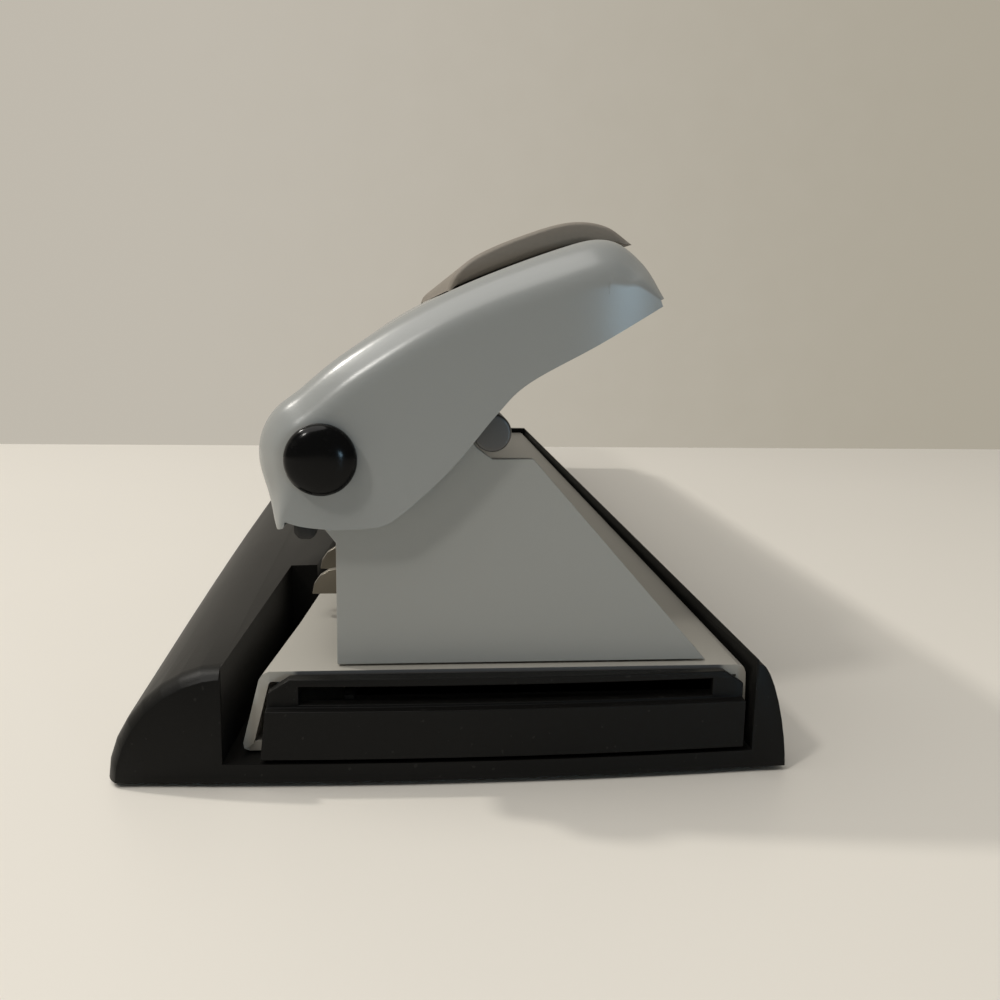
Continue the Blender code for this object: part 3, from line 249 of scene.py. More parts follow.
# Each lamp's name, place, width, watts and colour.
LAMPS = (
    ("lamp_behind", (-0.14, -0.70, 0.86), 0.07, 3.9, (1.0, 0.965, 0.90)),
    ("lamp_before", (0.60, -0.60, 0.80), 0.12, 2.6, (1.0, 0.97, 0.92)),
    ("window", (1.03, 0.49, 0.11), 0.11, 0.8, (0.5, 0.78, 1.0)),
    ("ceiling", (0.22, -0.42, 1.4), 1.3, 11.4, (1.0, 0.975, 0.94)),
)
for lamp_name, lamp_place, lamp_width, watts, lamp_colour in LAMPS:
    light = bpy.data.lights.new(lamp_name, "AREA")
    light.shape = "DISK"
    light.size = lamp_width
    light.energy = watts
    light.color = lamp_colour
    lamp = bpy.data.objects.new(lamp_name, light)
    lamp.location = lamp_place
    lamp.rotation_euler = (LAMP_TARGET - Vector(lamp_place)).to_track_quat("-Z", "Y").to_euler()
    bpy.context.scene.collection.objects.link(lamp)

world = bpy.data.worlds.new("room")
bpy.context.scene.world = world
world.use_nodes = True
world.node_tree.nodes["Background"].inputs["Color"].default_value = (*ROOM_COLOUR, 1.0)


# Base moulding
# One injection moulding in black satin plastic: a rounded front rim, a slim rear rim and a bay.
# Its edges are softened as the mould leaves them, and its skin has a fine spark-eroded grain.

MOULD_EDGE = 0.00035
MOULD_GRAIN_DEPTH = 0.00003
PLASTIC_COLOUR = (0.0065, 0.0063, 0.0058)
DUST_COLOUR = (0.045, 0.043, 0.039)
MERGE = 0.000002
FLAT_DEGREES = 0.4
RIM_FOOT = -0.0328
RIM_END = 0.14709
RIM_END_SLOPE = 0.058
RIM_DEPTH = 0.0165
SOLE_HEIGHT = 0.004
FOOT_BAND = 0.001
END_RADIUS = 0.004
END_TURN = math.radians(50)
END_STEPS = 6
END_RUN = END_RADIUS * math.sin(END_TURN)


def black_moulding(name):
    """Satin plastic: a spark-eroded grain, wiping marks along the punch, and a few specks of dust."""
    finish = Finish(name, PLASTIC_COLOUR, 0.4, Specular_IOR_Level=0.12)
    grain = finish.noise(2600.0, 2.0)
    wipe = finish.noise(38.0, 4.0, 0.6, finish.stretched((0.35, 1.0, 1.0)))
    specks = finish.noise(900.0, 1.0).above(0.73, 0.03)
    dust = finish.mix(specks * 0.3, shade(PLASTIC_COLOUR, 0.92), DUST_COLOUR)
    finish.set("Base Color", finish.mix(0.35 * wipe, dust, shade(PLASTIC_COLOUR, 1.5)))
    finish.set("Roughness", 0.34 + 0.14 * wipe)
    finish.bump(grain, MOULD_GRAIN_DEPTH, 0.55)
    return finish.material


def show(node, mesh, material, body, crease=38):
    """Links a finished mesh as one piece that rides on a body and stands for its solid. Edges that
    turn by more than the crease, in degrees, stay sharp."""
    mesh.name = node + "_piece"
    mesh.shade_smooth()
    mesh.set_sharp_from_angle(angle=math.radians(crease))
    item = bpy.data.objects.new(mesh.name, mesh)
    bpy.context.scene.collection.objects.link(item)
    mesh.materials.clear()
    mesh.materials.append(material)
    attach(item, body)
    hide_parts(node)
    return item


def softened(node, material, body, edge, segments=3, angle=35, cuts=()):
    """A copy of a solid with its loose triangles merged, its flat faces made whole, and its edges
    rounded. Each cut is a point and a normal of a plane along which the faces are divided."""
    shape = bmesh.new()
    shape.from_mesh(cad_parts[node].data)
    bmesh.ops.remove_doubles(shape, verts=shape.verts, dist=MERGE)
    bmesh.ops.dissolve_limit(
        shape,
        angle_limit=math.radians(FLAT_DEGREES),
        verts=shape.verts,
        edges=shape.edges,
        use_dissolve_boundaries=False,
    )
    for point, normal in cuts:
        parts = [*shape.verts, *shape.edges, *shape.faces]
        bmesh.ops.bisect_plane(shape, geom=parts, dist=MERGE, plane_co=point, plane_no=normal)
    bmesh.ops.recalc_face_normals(shape, faces=shape.faces)
    mesh = bpy.data.meshes.new(node)
    shape.to_mesh(mesh)
    shape.free()
    item = show(node, mesh, material, body, angle)
    bevel = item.modifiers.new("soft edges", "BEVEL")
    bevel.width = edge
    bevel.segments = segments
    bevel.limit_method = "ANGLE"
    bevel.angle_limit = math.radians(angle)
    bevel.use_clamp_overlap = True
    bevel.harden_normals = True
    return item


def end_cuts():
    """Upright planes near both ends of the front rim, at even steps of the turn round its end."""
    cuts = []
    for step in range(END_STEPS):
        back = END_RUN - END_RADIUS * math.sin(END_TURN * step / END_STEPS)
        for side in (-1, 1):
            cuts.append((((RIM_END - back) * side, RIM_FOOT, 0), (1, -RIM_END_SLOPE * side, 0)))
    return cuts


def drawn_in(mesh):
    """Rounds both ends of the front rim: over the last run of its length its section shrinks about its
    inner foot, by the end radius times one less the cosine of the turn reached there. Nothing moves
    where the rim meets the floor of the base."""
    place = np.empty(len(mesh.vertices) * 3, np.float32)
    mesh.vertices.foreach_get("co", place)
    x, y, z = place.reshape(-1, 3).T
    end = RIM_END + RIM_END_SLOPE * (y - RIM_FOOT)
    near = np.clip((np.abs(x) - end) / END_RUN + 1, 0, 1)
    turn = np.arcsin(near * math.sin(END_TURN))
    share = END_RADIUS * (1 - np.cos(turn)) / RIM_DEPTH
    share *= (y < RIM_FOOT + MERGE) & ((y < RIM_FOOT - FOOT_BAND) | (z > SOLE_HEIGHT))
    step = (RIM_FOOT - y) * share
    moved = np.stack([x + np.sign(x) * RIM_END_SLOPE * step, y + step, z * (1 - share)], axis=1)
    mesh.vertices.foreach_set("co", moved.ravel())
    mesh.update()


base_plastic = black_moulding("base_plastic")
base = softened("base_shell", base_plastic, "frame", MOULD_EDGE, 4, cuts=end_cuts())
drawn_in(base.data)


# Deck and channel
# Pale grey painted sheet steel, folded into a channel that the chip drawer runs in. The paint is
# thin and satin, a little warmer than the lever's. The sheet's end between its two flanges is
# painted dark: painted shade.

SHEET_EDGE = 0.0002
DECK_COLOUR = (0.40, 0.383, 0.34)
DECK_END_SHADE_COLOUR = (0.12, 0.12, 0.12)
DECK_END_SHADE_FROM = -0.0235
DECK_END_SHADE_TO = 0.0385
DECK_END_SHADE_DEPTH = 0.0004
PAINT_PEEL_DEPTH = 0.00002


def satin_paint(name, colour, gloss, end_shade_at=None):
    """Stoved paint: fine orange peel, faint handling marks that change the gloss, and no flat tone.
    Past a given length, between the sheet's two flanges, its end is painted dark as painted shade."""
    finish = Finish(name, colour, gloss)
    peel = finish.noise(1400.0, 2.0)
    marks = finish.noise(26.0, 3.0, 0.5)
    tone = finish.noise(9.0, 2.0)
    coat = finish.mix(tone, shade(colour, 0.965), shade(colour, 1.03))
    # The sheet's end between its flanges is painted dark: painted shade on the end face.
    if end_shade_at:
        along, across = finish.coordinate(0), finish.coordinate(1)
        ends = along.maths("ABSOLUTE", along).above(end_shade_at, 0.0002)
        middle = across.above(DECK_END_SHADE_FROM, 0.001) * (1 - across.above(DECK_END_SHADE_TO, 0.001))
        coat = finish.mix(ends * middle, coat, DECK_END_SHADE_COLOUR)
    finish.set("Base Color", coat)
    finish.set("Roughness", gloss - 0.03 + 0.07 * marks)
    finish.bump(peel, PAINT_PEEL_DEPTH, 0.35)
    return finish.material


# Where the deck's end begins to carry the painted shade.
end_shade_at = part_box("chassis_deck")[1].x - DECK_END_SHADE_DEPTH
deck_paint = satin_paint("deck_paint", DECK_COLOUR, 0.42, end_shade_at)
softened("chassis_deck", deck_paint, "frame", SHEET_EDGE)


# Chip drawer
# A black moulded tray that slides in the channel. Its end panel closes the channel, and a slot
# along the panel's top lets a fingertip pull it out.

softened("chip_drawer", black_moulding("drawer_plastic"), "drawer", MOULD_EDGE)


# Feet and base screws
# Four round rubber feet stick to the underside, and four zinc-plated screws hold the channel
# to the base from below.

ROUND_STEPS = 64
SMALL_STEPS = 32
HALF_SIDE_SHARE = 0.48
RUBBER_SKIN_DEPTH = 0.00003
METAL_GRAIN_DEPTH = 0.00001
FOOT_EDGE = 0.0006
SCREW_SLOT_RADIUS = 0.0014
SCREW_SLOT_DEPTH = 0.0006
SCREW_HEAD = 0.0011
SCREW_SHANK_RADIUS = 0.0013
SCREW_EDGE = 0.00025


def measured(node):
    """The lowest and the highest corner of a solid's box, and its middle."""
    low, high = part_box(node)
    return low, high, (low + high) / 2


def rounded(points, radius, steps, closed=True):
    """The corners of an outline rounded: each is a quadratic curve from one side to the next. It takes
    the radius from each side, or nearly half of the side where that is shorter."""
    corner = np.asarray(points, float)
    before = np.roll(corner, 1, 0) - corner
    after = np.roll(corner, -1, 0) - corner
    room = np.minimum(np.linalg.norm(before, axis=1), np.linalg.norm(after, axis=1)) * HALF_SIDE_SHARE
    reach = np.minimum(np.broadcast_to(radius, len(corner)), room)[:, None]
    start = corner + before / np.linalg.norm(before, axis=1)[:, None] * reach
    end = corner + after / np.linalg.norm(after, axis=1)[:, None] * reach
    share = np.linspace(0, 1, steps + 1)[None, :, None]
    curve = start[:, None] * (1 - share) ** 2 + 2 * corner[:, None] * share * (1 - share)
    curve += end[:, None] * share**2
    if closed:
        return curve.reshape(-1, 2)
    return np.vstack((corner[:1], curve[1:-1].reshape(-1, 2), corner[-1:]))


def grid_mesh(name, points, folded=False):
    """A closed surface of quads over a grid of points, rows by columns. Each row is a loop. The first
    and the last row close with one face each or, folded, with a strip of quads between their halves."""
    rows, columns = points.shape[:2]
    index = np.arange(rows * columns).reshape(rows, columns)
    low, high = index[:-1], index[1:]
    quads = np.stack((low, np.roll(low, -1, 1), np.roll(high, -1, 1), high), axis=-1)
    faces = quads.reshape(-1, 4).tolist()
    if folded:
        half = columns // 2
        for row in (index[0], index[-1]):
            back = row[::-1]
            strip = np.stack((row[: half - 1], row[1:half], back[1:half], back[: half - 1]), axis=-1)
            faces += strip.tolist()
    else:
        faces += [index[0][::-1].tolist(), index[-1].tolist()]
    mesh = bpy.data.meshes.new(name)
    mesh.from_pydata(points.reshape(-1, 3), [], faces)
    shape = bmesh.new()
    shape.from_mesh(mesh)
    bmesh.ops.remove_doubles(shape, verts=shape.verts, dist=MERGE)
    bmesh.ops.dissolve_degenerate(shape, edges=shape.edges, dist=MERGE / 4)
    bmesh.ops.recalc_face_normals(shape, faces=shape.faces)
    shape.to_mesh(mesh)
    shape.free()
    return mesh


def turned(profile, place, axis=(0, 0, 1), steps=ROUND_STEPS):
    """A profile of radius and height turned about an axis: each point goes round at its own height."""
    radius, height = np.asarray(profile, float).T
    along = np.asarray(axis, float)
    first = np.roll(np.abs(along), 1)
    second = np.cross(along, first)
    angle = np.linspace(0, 2 * math.pi, steps, endpoint=False)
    ring = np.cos(angle)[:, None] * first + np.sin(angle)[:, None] * second
    return np.asarray(place) + height[:, None, None] * along + radius[:, None, None] * ring[None]


def disc_profile(radius, low, high, edge):
    """Half the section of a round disc with rounded rims, from its lower to its upper middle."""
    corners = [(0.0, low), (radius, low), (radius, high), (0.0, high)]
    return rounded(corners, edge, 6, closed=False)


def rubber(name, colour, gloss):
    """Matt rubber with a fine skin and a cloudy bloom."""
    finish = Finish(name, colour, gloss)
    fine = finish.noise(3000.0, 2.0)
    bloom = finish.noise(55.0, 4.0)
    finish.set("Base Color", finish.mix(bloom, shade(colour, 0.88), shade(colour, 1.18)))
    finish.set("Roughness", gloss - 0.05 + 0.1 * bloom)
    finish.bump(fine, RUBBER_SKIN_DEPTH, 0.5)
    return finish.material


def plated_steel(name, colour, gloss, grain=(1.0, 1.0, 1.0), metallic=1.0):
    """Bright metal with a fine drawn grain along one way, and a gloss that changes slightly."""
    finish = Finish(name, colour, gloss, metallic)
    drawn = finish.noise(900.0, 3.0, 0.6, finish.stretched(grain))
    film = finish.noise(70.0, 3.0)
    finish.set("Base Color", finish.mix(film, shade(colour, 0.93), shade(colour, 1.04)))
    finish.set("Roughness", gloss - 0.05 + 0.08 * drawn + 0.06 * film)
    finish.bump(drawn, METAL_GRAIN_DEPTH, 0.4)
    return finish.material


black_rubber = rubber("black_rubber", (0.018, 0.018, 0.018), 0.78)
zinc = plated_steel("zinc_steel", (0.62, 0.63, 0.65), 0.34)

for number in range(1, 5):
    foot = f"rubber_foot_{number}"
    low, high, centre = measured(foot)
    profile = disc_profile((high.x - low.x) / 2, 0.0, high.z, FOOT_EDGE)
    mesh = grid_mesh(foot, turned(profile, (centre.x, centre.y, 0.0)))
    show(foot, mesh, black_rubber, "frame")

for number in range(1, 5):
    screw = f"base_screw_{number}"
    low, high, centre = measured(screw)
    wide = (high.x - low.x) / 2
    head = low.z + SCREW_HEAD
    outline = [(0.0, low.z + SCREW_SLOT_DEPTH), (SCREW_SLOT_RADIUS, low.z + SCREW_SLOT_DEPTH)]
    outline += [(SCREW_SLOT_RADIUS, low.z), (wide, low.z), (wide, head)]
    outline += [(SCREW_SHANK_RADIUS, head), (SCREW_SHANK_RADIUS, high.z), (0.0, high.z)]
    profile = rounded(outline, SCREW_EDGE, 3, closed=False)
    mesh = grid_mesh(screw, turned(profile, (centre.x, centre.y, 0.0), steps=SMALL_STEPS))
    show(screw, mesh, zinc, "frame")


# End plates
# Two plates of painted sheet steel stand on the deck. They carry the shaft in an ear and the
# tie rod in a notch, and each has a foot bent inwards and riveted down.

PLATE_EDGE = 0.0003
PLATE_COLOUR = (0.33, 0.332, 0.314)
plate_paint = satin_paint("plate_paint", PLATE_COLOUR, 0.40)
for word in ("left", "right"):
    softened(f"end_plate_{word}", plate_paint, "frame", PLATE_EDGE)


# Rivets
# Round-headed rivets of zinc-plated steel hold the feet of the plates and of the punch heads down
# on the deck, two for each foot.

RIVET_HEAD = 0.0009
RIVET_STEM_RADIUS = 0.0012
RIVET_ARCH_STEPS = 10
RIVET_ROUND_STEPS = 40
for number in range(1, 11):
    rivet = f"rivet_{number}"
    low, high, centre = measured(rivet)
    wide = (high.x - low.x) / 2
    seat = high.z - RIVET_HEAD
    arch = np.linspace(0, math.pi / 2, RIVET_ARCH_STEPS)
    dome = np.stack((wide * np.sin(arch), seat + (high.z - seat) * np.cos(arch)), axis=1)
    stem = np.array([(RIVET_STEM_RADIUS, seat), (RIVET_STEM_RADIUS, low.z), (0.0, low.z)])
    profile = np.vstack((dome, stem))
    mesh = grid_mesh(rivet, turned(profile, (centre.x, centre.y, 0.0), steps=RIVET_ROUND_STEPS))
    show(rivet, mesh, zinc, "frame")


# Tie rod
# A blackened steel rod lies in the notches of the two plates. It ties them together and stops
# the lever at the bottom of its stroke.

ROD_EDGE = 0.0005
blackened = plated_steel("black_steel", (0.10, 0.10, 0.10), 0.36, (0.02, 1.0, 1.0), 0.75)
low, high, centre = measured("tie_rod")
profile = disc_profile((high.z - low.z) / 2, -high.x, high.x, ROD_EDGE)
mesh = grid_mesh("tie_rod", turned(profile, (0.0, centre.y, centre.z), (1, 0, 0)))
show("tie_rod", mesh, blackened, "frame")


# Punch heads
# Each is a nickel-plated bracket of folded sheet steel: two side walls round the paper's throat,
# a back wall that stops the sheet, two guide shelves, and a foot. A hardened die lies under it.

HEAD_EDGE = 0.0002
STATIONS = ("left", "centre", "right")
nickel = plated_steel("nickel_steel", (0.22, 0.20, 0.165), 0.30, (1.0, 1.0, 0.08))
hardened = plated_steel("tool_steel", (0.52, 0.52, 0.53), 0.26, (1.0, 1.0, 6.0))
for word in STATIONS:
    softened(f"punch_head_{word}", nickel, "frame", HEAD_EDGE)
    softened(f"die_{word}", hardened, "frame", HEAD_EDGE)


# Pins, clips and springs
# A ground steel pin slides in the guides of each head. A spring under its flat head lifts it,
# and a clip in its groove stops it against the upper guide.

PIN_EDGE = 0.00015
CLIP_NECK = 0.003
CLIP_EDGE = 0.0002
SPRING_CURLS = 5
WIRE_RADIUS = 0.0004
CURL_STEPS = 40
WIRE_STEPS = 12


def spring_grid(place, radius, low, high):
    """A round wire carried along a helix: the helix climbs evenly, and each ring of the wire is drawn
    from the helix's own outward and upward directions there."""
    turn = np.linspace(0, 2 * math.pi * SPRING_CURLS, SPRING_CURLS * CURL_STEPS + 1)
    outward = np.stack((np.cos(turn), np.sin(turn), 0 * turn), axis=1)
    rise = (high - low - 2 * WIRE_RADIUS) / turn[-1]
    along = np.stack((-radius * np.sin(turn), radius * np.cos(turn), 0 * turn + rise), axis=1)
    along /= np.linalg.norm(along, axis=1)[:, None]
    upward = np.cross(outward, along)
    middle = outward * radius + np.stack((0 * turn, 0 * turn, low + WIRE_RADIUS + rise * turn), axis=1)
    ring = np.linspace(0, 2 * math.pi, WIRE_STEPS, endpoint=False)
    wire = outward[:, None] * np.cos(ring)[None, :, None] + upward[:, None] * np.sin(ring)[None, :, None]
    return np.asarray(place) + middle[:, None] + wire * WIRE_RADIUS


spring_steel = plated_steel("spring_steel", (0.58, 0.58, 0.60), 0.28)
for word in STATIONS:
    pin, clip, spring = f"punch_pin_{word}", f"pin_clip_{word}", f"pin_spring_{word}"
    softened(pin, hardened, pin, PIN_EDGE)
    low, high, centre = measured(clip)
    outer = (high.x - low.x) / 2
    corners = [(CLIP_NECK, low.z), (outer, low.z), (outer, high.z), (CLIP_NECK, high.z)]
    section = rounded(corners, CLIP_EDGE, 3)
    section = np.vstack((section, section[:1]))
    mesh = grid_mesh(clip, turned(section, (centre.x, centre.y, 0.0)).transpose(1, 0, 2))
    show(clip, mesh, zinc, pin)
    middle = measured(pin)[2]
    low, high, centre = measured(spring)
    coil_radius = (high.y - low.y) / 2 - WIRE_RADIUS
    mesh = grid_mesh(spring, spring_grid((middle.x, middle.y, 0.0), coil_radius, low.z, high.z))
    coil = show(spring, mesh, spring_steel, "frame")
    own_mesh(coil)


# Shaft, washers and end caps
# A zinc-plated shaft runs the whole length through the lever, washers, plates, heads and arms. A
# domed cap of glossy black plastic is pressed on each end.

SHAFT_EDGE = 0.0003
WASHER_EDGE = 0.0003
CAP_SKIRT = 0.0007
CAP_FULLNESS = 0.9
CAP_INSET = 0.0003
CAP_ARCH_STEPS = 20
CAP_ROUND_STEPS = 96
CAP_SCUFF_DEPTH = 0.00002
CAP_COLOUR = (0.003, 0.003, 0.003)
SCUFF_COLOUR = (0.009, 0.0088, 0.0084)
low, high, centre = measured("pivot_shaft")
profile = disc_profile((high.z - low.z) / 2, -high.x, high.x, SHAFT_EDGE)
mesh = grid_mesh("pivot_shaft", turned(profile, (0.0, centre.y, centre.z), (1, 0, 0)))
show("pivot_shaft", mesh, zinc, "frame")

cap_finish = Finish("cap_plastic", CAP_COLOUR, 0.13, Specular_IOR_Level=0.14)
scuffs = cap_finish.noise(420.0, 4.0, 0.65)
haze = cap_finish.noise(90.0, 3.0)
cap_finish.set("Roughness", 0.12 + 0.08 * haze)
cap_finish.set("Base Color", cap_finish.mix(scuffs.above(0.6, 0.2), CAP_COLOUR, SCUFF_COLOUR))
cap_finish.bump(scuffs, CAP_SCUFF_DEPTH, 0.25)
for word, side in (("left", -1), ("right", 1)):
    cap, washer = f"pivot_cap_{word}", f"pivot_washer_{word}"
    low, high, centre = measured(cap)
    wide = (high.z - low.z) / 2
    foot, top = sorted((abs(low.x), abs(high.x)))
    arch = np.linspace(0, math.pi / 2, CAP_ARCH_STEPS)
    bulge = foot + CAP_SKIRT + (top - foot - CAP_SKIRT) * np.cos(arch)
    dome = np.stack((wide * np.sin(arch) ** CAP_FULLNESS, bulge), axis=1)
    skirt = np.array([(wide, foot + CAP_SKIRT / 3), (wide - CAP_INSET, foot), (0.0, foot)])
    profile = np.vstack((dome, skirt))
    mesh = grid_mesh(cap, turned(profile, (0.0, centre.y, centre.z), (side, 0, 0), CAP_ROUND_STEPS))
    show(cap, mesh, cap_finish.material, "frame", 50)
    low, high, centre = measured(washer)
    foot, top = sorted((abs(low.x), abs(high.x)))
    profile = disc_profile((high.z - low.z) / 2, foot, top, WASHER_EDGE)
    mesh = grid_mesh(washer, turned(profile, (0.0, centre.y, centre.z), (side, 0, 0)))
    show(washer, mesh, zinc, "frame")


# Lever
# A long shell pressed from sheet steel and painted light grey, open below. Its shoulders roll
# over a large radius with a narrow flat band on it, and its two cheeks hang over the plates.

LEVER_COLOUR = (0.29, 0.299, 0.291)
PIVOT_Y = -0.0188
PIVOT_Z = 0.0462
LEVER_REACH = 0.0467
LEVER_RISE = 0.0299
LEVER_DROP = 0.0099
LEVER_WALL = 0.0016
LEVER_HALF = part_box("handle_shell")[1].x
NOSE_RADIUS = 0.0091
NOSE_DEGREES = (200, 118)
LIP_SHARE = 0.68
TOP_SHARES = ((0.073, 0.478), (0.355, 0.742), (0.681, 0.95), (0.846, 1.006), (0.955, 0.90), (1.0, 0.739))
UNDER_TIP_SHARES = ((0.993, 0.702), (0.805, 0.528), (0.602, 0.351))
UNDER_NECK_SHARES = ((0.508, 0.207), (0.373, -0.05), (0.212, -0.281))
LIP_CORNER = 0.0012
LOBE = ((0.0062, 0.0003), (0.0018, 0.0001), (-0.0025, 0.0005))
SHOULDER = 0.006
TIP_SHOULDER = 0.0095
SHOULDER_BAND_SHARE = 0.16
ROLL_DEPTH_SHARE = 0.62
ROLL_WIDTH_SHARE = 1.5
# How far from each end the cheeks begin to draw in, and by how much they do.
NOSE_CORNER = (0.004, 0.0008)
TIP_CORNER = (0.016, 0.0016)
NOSE_STEPS = 26
CURVE_STEPS = 12
TOP_CURVE_STEPS = 14
SHOULDER_STEPS = 14
CHEEK_STEPS = 9
LEVER_ROWS = 150
CROWDING_SHARE = 0.75
TOP_ROUNDS = 30
UNDER_ROUNDS = 20


def smooth_line(points, steps):
    """A Catmull-Rom curve: each stretch is the cubic whose ends and slopes come from its neighbours."""
    knots = np.asarray(points, float)
    knots = np.vstack((2 * knots[0] - knots[1], knots, 2 * knots[-1] - knots[-2]))
    before, start, end, after = knots[:-3, None], knots[1:-2, None], knots[2:-1, None], knots[3:, None]
    t = np.linspace(0, 1, steps, endpoint=False)[None, :, None]
    cubic = 2 * start + (end - before) * t + (2 * before - 5 * start + 4 * end - after) * t**2
    cubic = (cubic + (3 * start - before - 3 * end + after) * t**3) / 2
    return np.vstack((cubic.reshape(-1, 2), knots[-2]))


def spread(line, count, crowding=0.0):
    """The same line with its points set an even distance apart, or crowded towards both its ends: a
    share of the even spacing is given over to a cosine one."""
    run = np.concatenate(([0.0], np.cumsum(np.linalg.norm(np.diff(line, axis=0), axis=1))))
    even = np.linspace(0, 1, count)
    even = run[-1] * (even * (1 - crowding) + crowding * (1 - np.cos(math.pi * even)) / 2)
    return np.stack((np.interp(even, run, line[:, 0]), np.interp(even, run, line[:, 1])), axis=1)


def settled(line, rounds):
    """Each point moves halfway to the mean of its two neighbours, some times over, with the ends kept."""
    for _ in range(rounds):
        line = np.vstack((line[:1], (line[:-2] + 2 * line[1:-1] + line[2:]) / 4, line[-1:]))
    return line


def left_of(line):
    """Unit directions to the left of the way that the line runs."""
    run = np.gradient(line, axis=0)
    run /= np.linalg.norm(run, axis=1)[:, None]
    return np.stack((-run[:, 1], run[:, 0]), axis=1)


def lever_top():
    """The upper edge of the lever's side: lip, nose round the pivot, crown and tip."""
    angle = np.radians(np.linspace(*NOSE_DEGREES, NOSE_STEPS))
    nose = NOSE_RADIUS * np.stack((np.cos(angle), np.sin(angle)), axis=1)
    crown = np.array(TOP_SHARES) * (LEVER_REACH, LEVER_RISE)
    lip = [(-NOSE_RADIUS * LIP_SHARE, -LEVER_DROP)]
    line = np.vstack((lip, nose[:-1], smooth_line(np.vstack((nose[-1:], crown)), TOP_CURVE_STEPS)))
    return spread(settled(spread(line, 3 * LEVER_ROWS), TOP_ROUNDS), LEVER_ROWS, CROWDING_SHARE)


def lever_under():
    """The lower edge of the lever's side, from the lip back to the tip."""
    under = np.array(UNDER_TIP_SHARES + UNDER_NECK_SHARES) * (LEVER_REACH, LEVER_RISE)
    corner = (-NOSE_RADIUS * LIP_SHARE + LIP_CORNER, LIP_CORNER)
    lobe = np.array((*LOBE, corner)) + (0, -LEVER_DROP)
    line = smooth_line(np.vstack((under, lobe)), CURVE_STEPS)[::-1]
    return spread(settled(spread(line, 3 * LEVER_ROWS), UNDER_ROUNDS), LEVER_ROWS, CROWDING_SHARE)


def shoulder_section(band):
    """The roll from the cheek to the top, as shares of its size: a quarter round cut in two, with a
    short straight between. Gives how far each point lies in from the cheek and down from the top."""
    angle = np.linspace(0, math.pi / 2, SHOULDER_STEPS)
    bow = 1 - band
    along = bow * (1 - np.cos(angle)) + band * (angle > math.pi / 4)
    down = bow * (1 - np.sin(angle)) + band * (angle <= math.pi / 4)
    return along, down


def soft_least(first, second):
    """Close to the lesser of two lengths, with no break where they cross: the inverse fourth root of
    the sum of their inverse fourth powers."""
    return (first**-4 + (second + MERGE) ** -4) ** -0.25


def drawn_cheek(away, length, depth):
    """How far a cheek draws in at a distance from its end: the depth times the square of what is left
    of the length there, as a share of it."""
    return depth * np.clip(1 - away / length, 0, 1) ** 2


def lever_skin(inward):
    """One face of the shell, moved inwards by a distance. Rows follow the side's upper edge from the
    lip to the tip. Columns run from the lower edge up one cheek, over the shoulder, along the top,
    and down the other cheek. The roll is only as deep as the side is there, and wider at the tip."""
    top, under = lever_top(), lever_under()
    inside = -left_of(top)
    run = np.concatenate(([0.0], np.cumsum(np.linalg.norm(np.diff(top, axis=0), axis=1))))
    room = np.linalg.norm(top - under, axis=1) * ROLL_DEPTH_SHARE
    size = SHOULDER + (TIP_SHOULDER - SHOULDER) * np.clip(run / run[-1] * 2 - 1, 0, 1) ** 2
    deep = soft_least(size, room)
    size = soft_least(size, room * ROLL_WIDTH_SHARE)
    along, down = shoulder_section(SHOULDER_BAND_SHARE)
    inner_share = 1 - inward / SHOULDER
    rise = np.linspace(0, 1, CHEEK_STEPS)[None, :, None]
    shoulder_foot = top + inside * deep[:, None]
    cheek = under[:, None] * (1 - rise) + shoulder_foot[:, None] * rise
    depth = inward + deep[:, None] * down[None] * inner_share
    depth = np.minimum(depth, deep[:, None])
    roll = top[:, None] + inside[:, None] * depth[..., None]
    half = np.concatenate((cheek[:, :-1], roll), axis=1)
    sides = np.concatenate((np.zeros(cheek.shape[1] - 1), along))[None] * (size * inner_share)[:, None]
    inset = drawn_cheek(half[..., 0] + NOSE_RADIUS, *NOSE_CORNER)
    inset = inset + drawn_cheek(LEVER_REACH - half[..., 0], *TIP_CORNER)
    x = LEVER_HALF - inward - inset - sides
    near = np.concatenate((x[..., None], half), axis=2)
    far = near[:, ::-1] * (-1, 1, 1)
    return np.concatenate((near, far), axis=1) + (0, PIVOT_Y, PIVOT_Z)


outer_skin, inner_skin = lever_skin(0.0), lever_skin(LEVER_WALL)
lever_rows = np.concatenate((outer_skin, inner_skin[:, ::-1]), axis=1)
lever_mesh = grid_mesh("handle_shell", lever_rows, folded=True)
lever_paint = satin_paint("lever_paint", LEVER_COLOUR, 0.26)
show("handle_shell", lever_mesh, lever_paint, "handle", 40)


# Bumpers and press arms
# Two rubber blocks behind the lever's lip meet the plates when it comes up. Three thick steel
# arms are welded under its crown, and their curved edges press the pins down.

BUMPER_EDGE = 0.0006
ARM_EDGE = 0.0003
for word in ("left", "right"):
    softened(f"handle_bumper_{word}", black_rubber, "handle", BUMPER_EDGE)
for word in STATIONS:
    softened(f"press_arm_{word}", blackened, "handle", ARM_EDGE)


# Grip pad
# A soft dark pad bonded on the lever's crown. Its ends are cut square with a small round edge, its
# front edge ramps up, its rear edge stands off a little, and its skin has a fine leathery grain.

PAD_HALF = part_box("grip_pad")[1].x
PAD_START_SHARE = 0.373
PAD_END_SHARE = 0.85
PAD_TIP_SHARE = 0.972
PAD_THICKNESS = 0.0034
PAD_TOP_SHARES = ((0.0, 0.0), (0.045, 0.62), (0.17, 1.0), (0.4, 1.08), (0.65, 1.0), (0.85, 0.78))
PAD_SEAT = 0.0002
PAD_OVERHANG_SHARE = 0.9
PAD_EDGE = 0.0011
PAD_SQUEEZE_SHARE = 0.6
PAD_FOOT_LIFT_SHARE = 1.2
PAD_SKIN_DEPTH = 0.00006
PAD_COLUMNS = 90
PAD_CROWDING_SHARE = 0.5
PAD_ROUNDS = 3
PAD_END_STEPS = 8
PAD_LENGTH_STEPS = 9
PAD_COLOUR = (0.228, 0.201, 0.168)


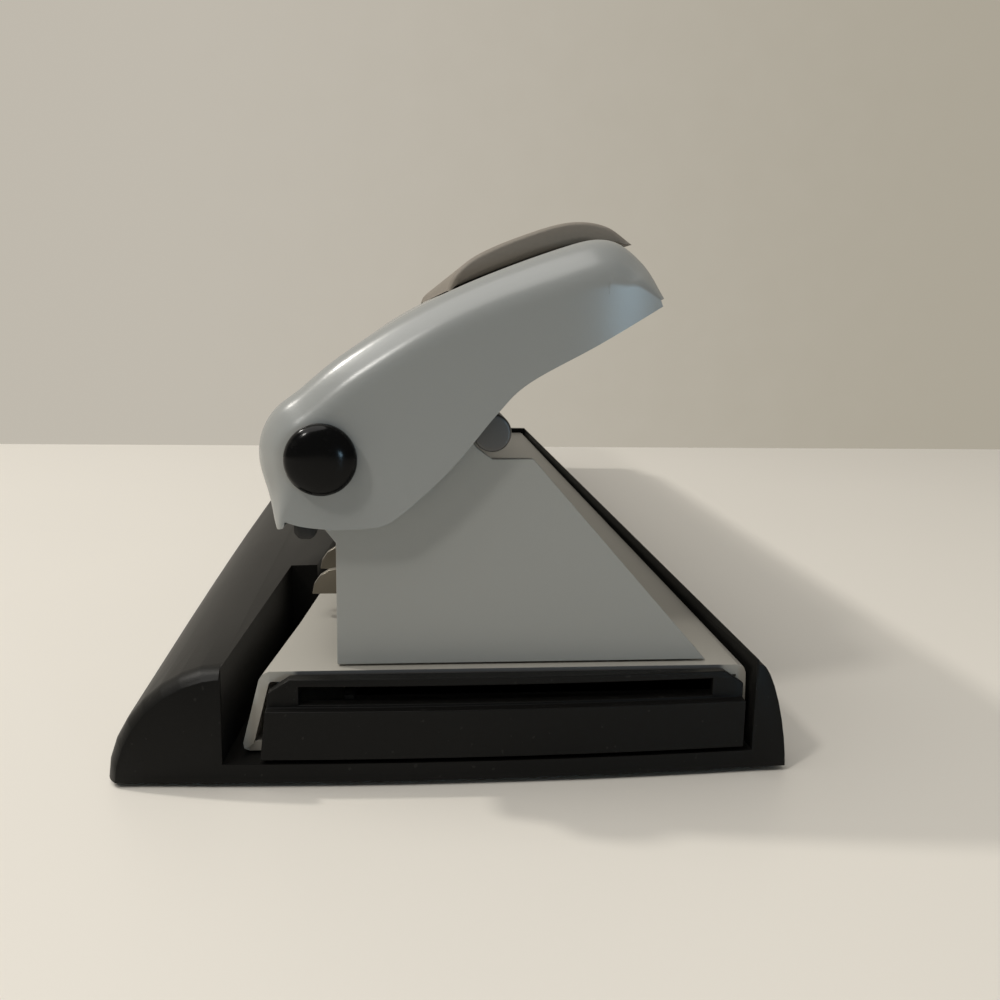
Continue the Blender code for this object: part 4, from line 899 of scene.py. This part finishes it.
def pad_lines():
    """The pad's side: an upper line and its foot on the lever's crown, point for point. The upper
    line lies above the seat by shares of the thickness, and ends in a tip beyond the seat."""
    crown = lever_top()
    crown = crown[(crown[:, 1] > 0) & (crown[:, 0] < PAD_TIP_SHARE * LEVER_REACH)]
    start, end, tip = np.array((PAD_START_SHARE, PAD_END_SHARE, PAD_TIP_SHARE)) * LEVER_REACH
    shares = np.array(PAD_TOP_SHARES)
    across = start + shares[:, 0] * (tip - start)
    base = np.interp(np.minimum(across, end), crown[:, 0], crown[:, 1]) + PAD_SEAT
    knots = np.stack((across, base + shares[:, 1] * PAD_THICKNESS), axis=1)
    last = np.interp(end, crown[:, 0], crown[:, 1]) + PAD_SEAT
    upper = settled(smooth_line(np.vstack((knots, [(tip, last)])), CURVE_STEPS), PAD_ROUNDS)
    upper = spread(upper, PAD_COLUMNS, PAD_CROWDING_SHARE)
    foot = np.minimum(upper[:, 0], end + (upper[:, 0] - end) * PAD_OVERHANG_SHARE)
    seat = np.stack((foot, np.interp(np.minimum(foot, end), crown[:, 0], crown[:, 1]) + PAD_SEAT), axis=1)
    return upper, seat


def pad_grid():
    """Rows follow one another along the punch. At each end the pad draws in and down along a quarter
    round, in proportion to its height there, and its foot lifts off the lever."""
    upper, seat = pad_lines()
    round_off = np.linspace(0, math.pi / 2, PAD_END_STEPS)
    x = PAD_HALF - PAD_EDGE * (1 - np.cos(round_off))
    drawn = PAD_EDGE * (1 - np.sin(round_off))
    x = np.concatenate((x, np.linspace(x[-1], -x[-1], PAD_LENGTH_STEPS)[1:-1], -x[::-1]))
    drawn = np.concatenate((drawn, np.zeros(PAD_LENGTH_STEPS - 2), drawn[::-1]))
    keep = 1 - drawn / PAD_THICKNESS * PAD_SQUEEZE_SHARE
    middle = seat[:, :1].mean()
    lines = seat[None] + (upper - seat)[None] * keep[:, None, None]
    lift = drawn / PAD_THICKNESS * PAD_FOOT_LIFT_SHARE
    feet = seat[None] + (lines - seat[None]) * lift[:, None, None]
    loop = np.concatenate((lines, feet[:, ::-1]), axis=1)
    width = np.ptp(seat[:, 0]) / 2
    squeeze = 1 - drawn[:, None] / width * PAD_SQUEEZE_SHARE
    loop = np.stack((middle + (loop[..., 0] - middle) * squeeze, loop[..., 1]), axis=2)
    points = np.concatenate((np.broadcast_to(x[:, None, None], loop.shape[:2] + (1,)), loop), axis=2)
    return points + (0, PIVOT_Y, PIVOT_Z)


pad_finish = Finish("grip_rubber", PAD_COLOUR, 0.62, Specular_IOR_Level=0.3)
leather = pad_finish.cells(1500.0)
worn = pad_finish.noise(30.0, 4.0)
pad_finish.set("Base Color", pad_finish.mix(worn, shade(PAD_COLOUR, 0.85), shade(PAD_COLOUR, 1.15)))
pad_finish.set("Roughness", 0.55 + 0.14 * worn)
pad_finish.bump(leather, PAD_SKIN_DEPTH, 0.5)
pad_mesh = grid_mesh("grip_pad", pad_grid(), folded=True)
show("grip_pad", pad_mesh, pad_finish.material, "handle", 50)
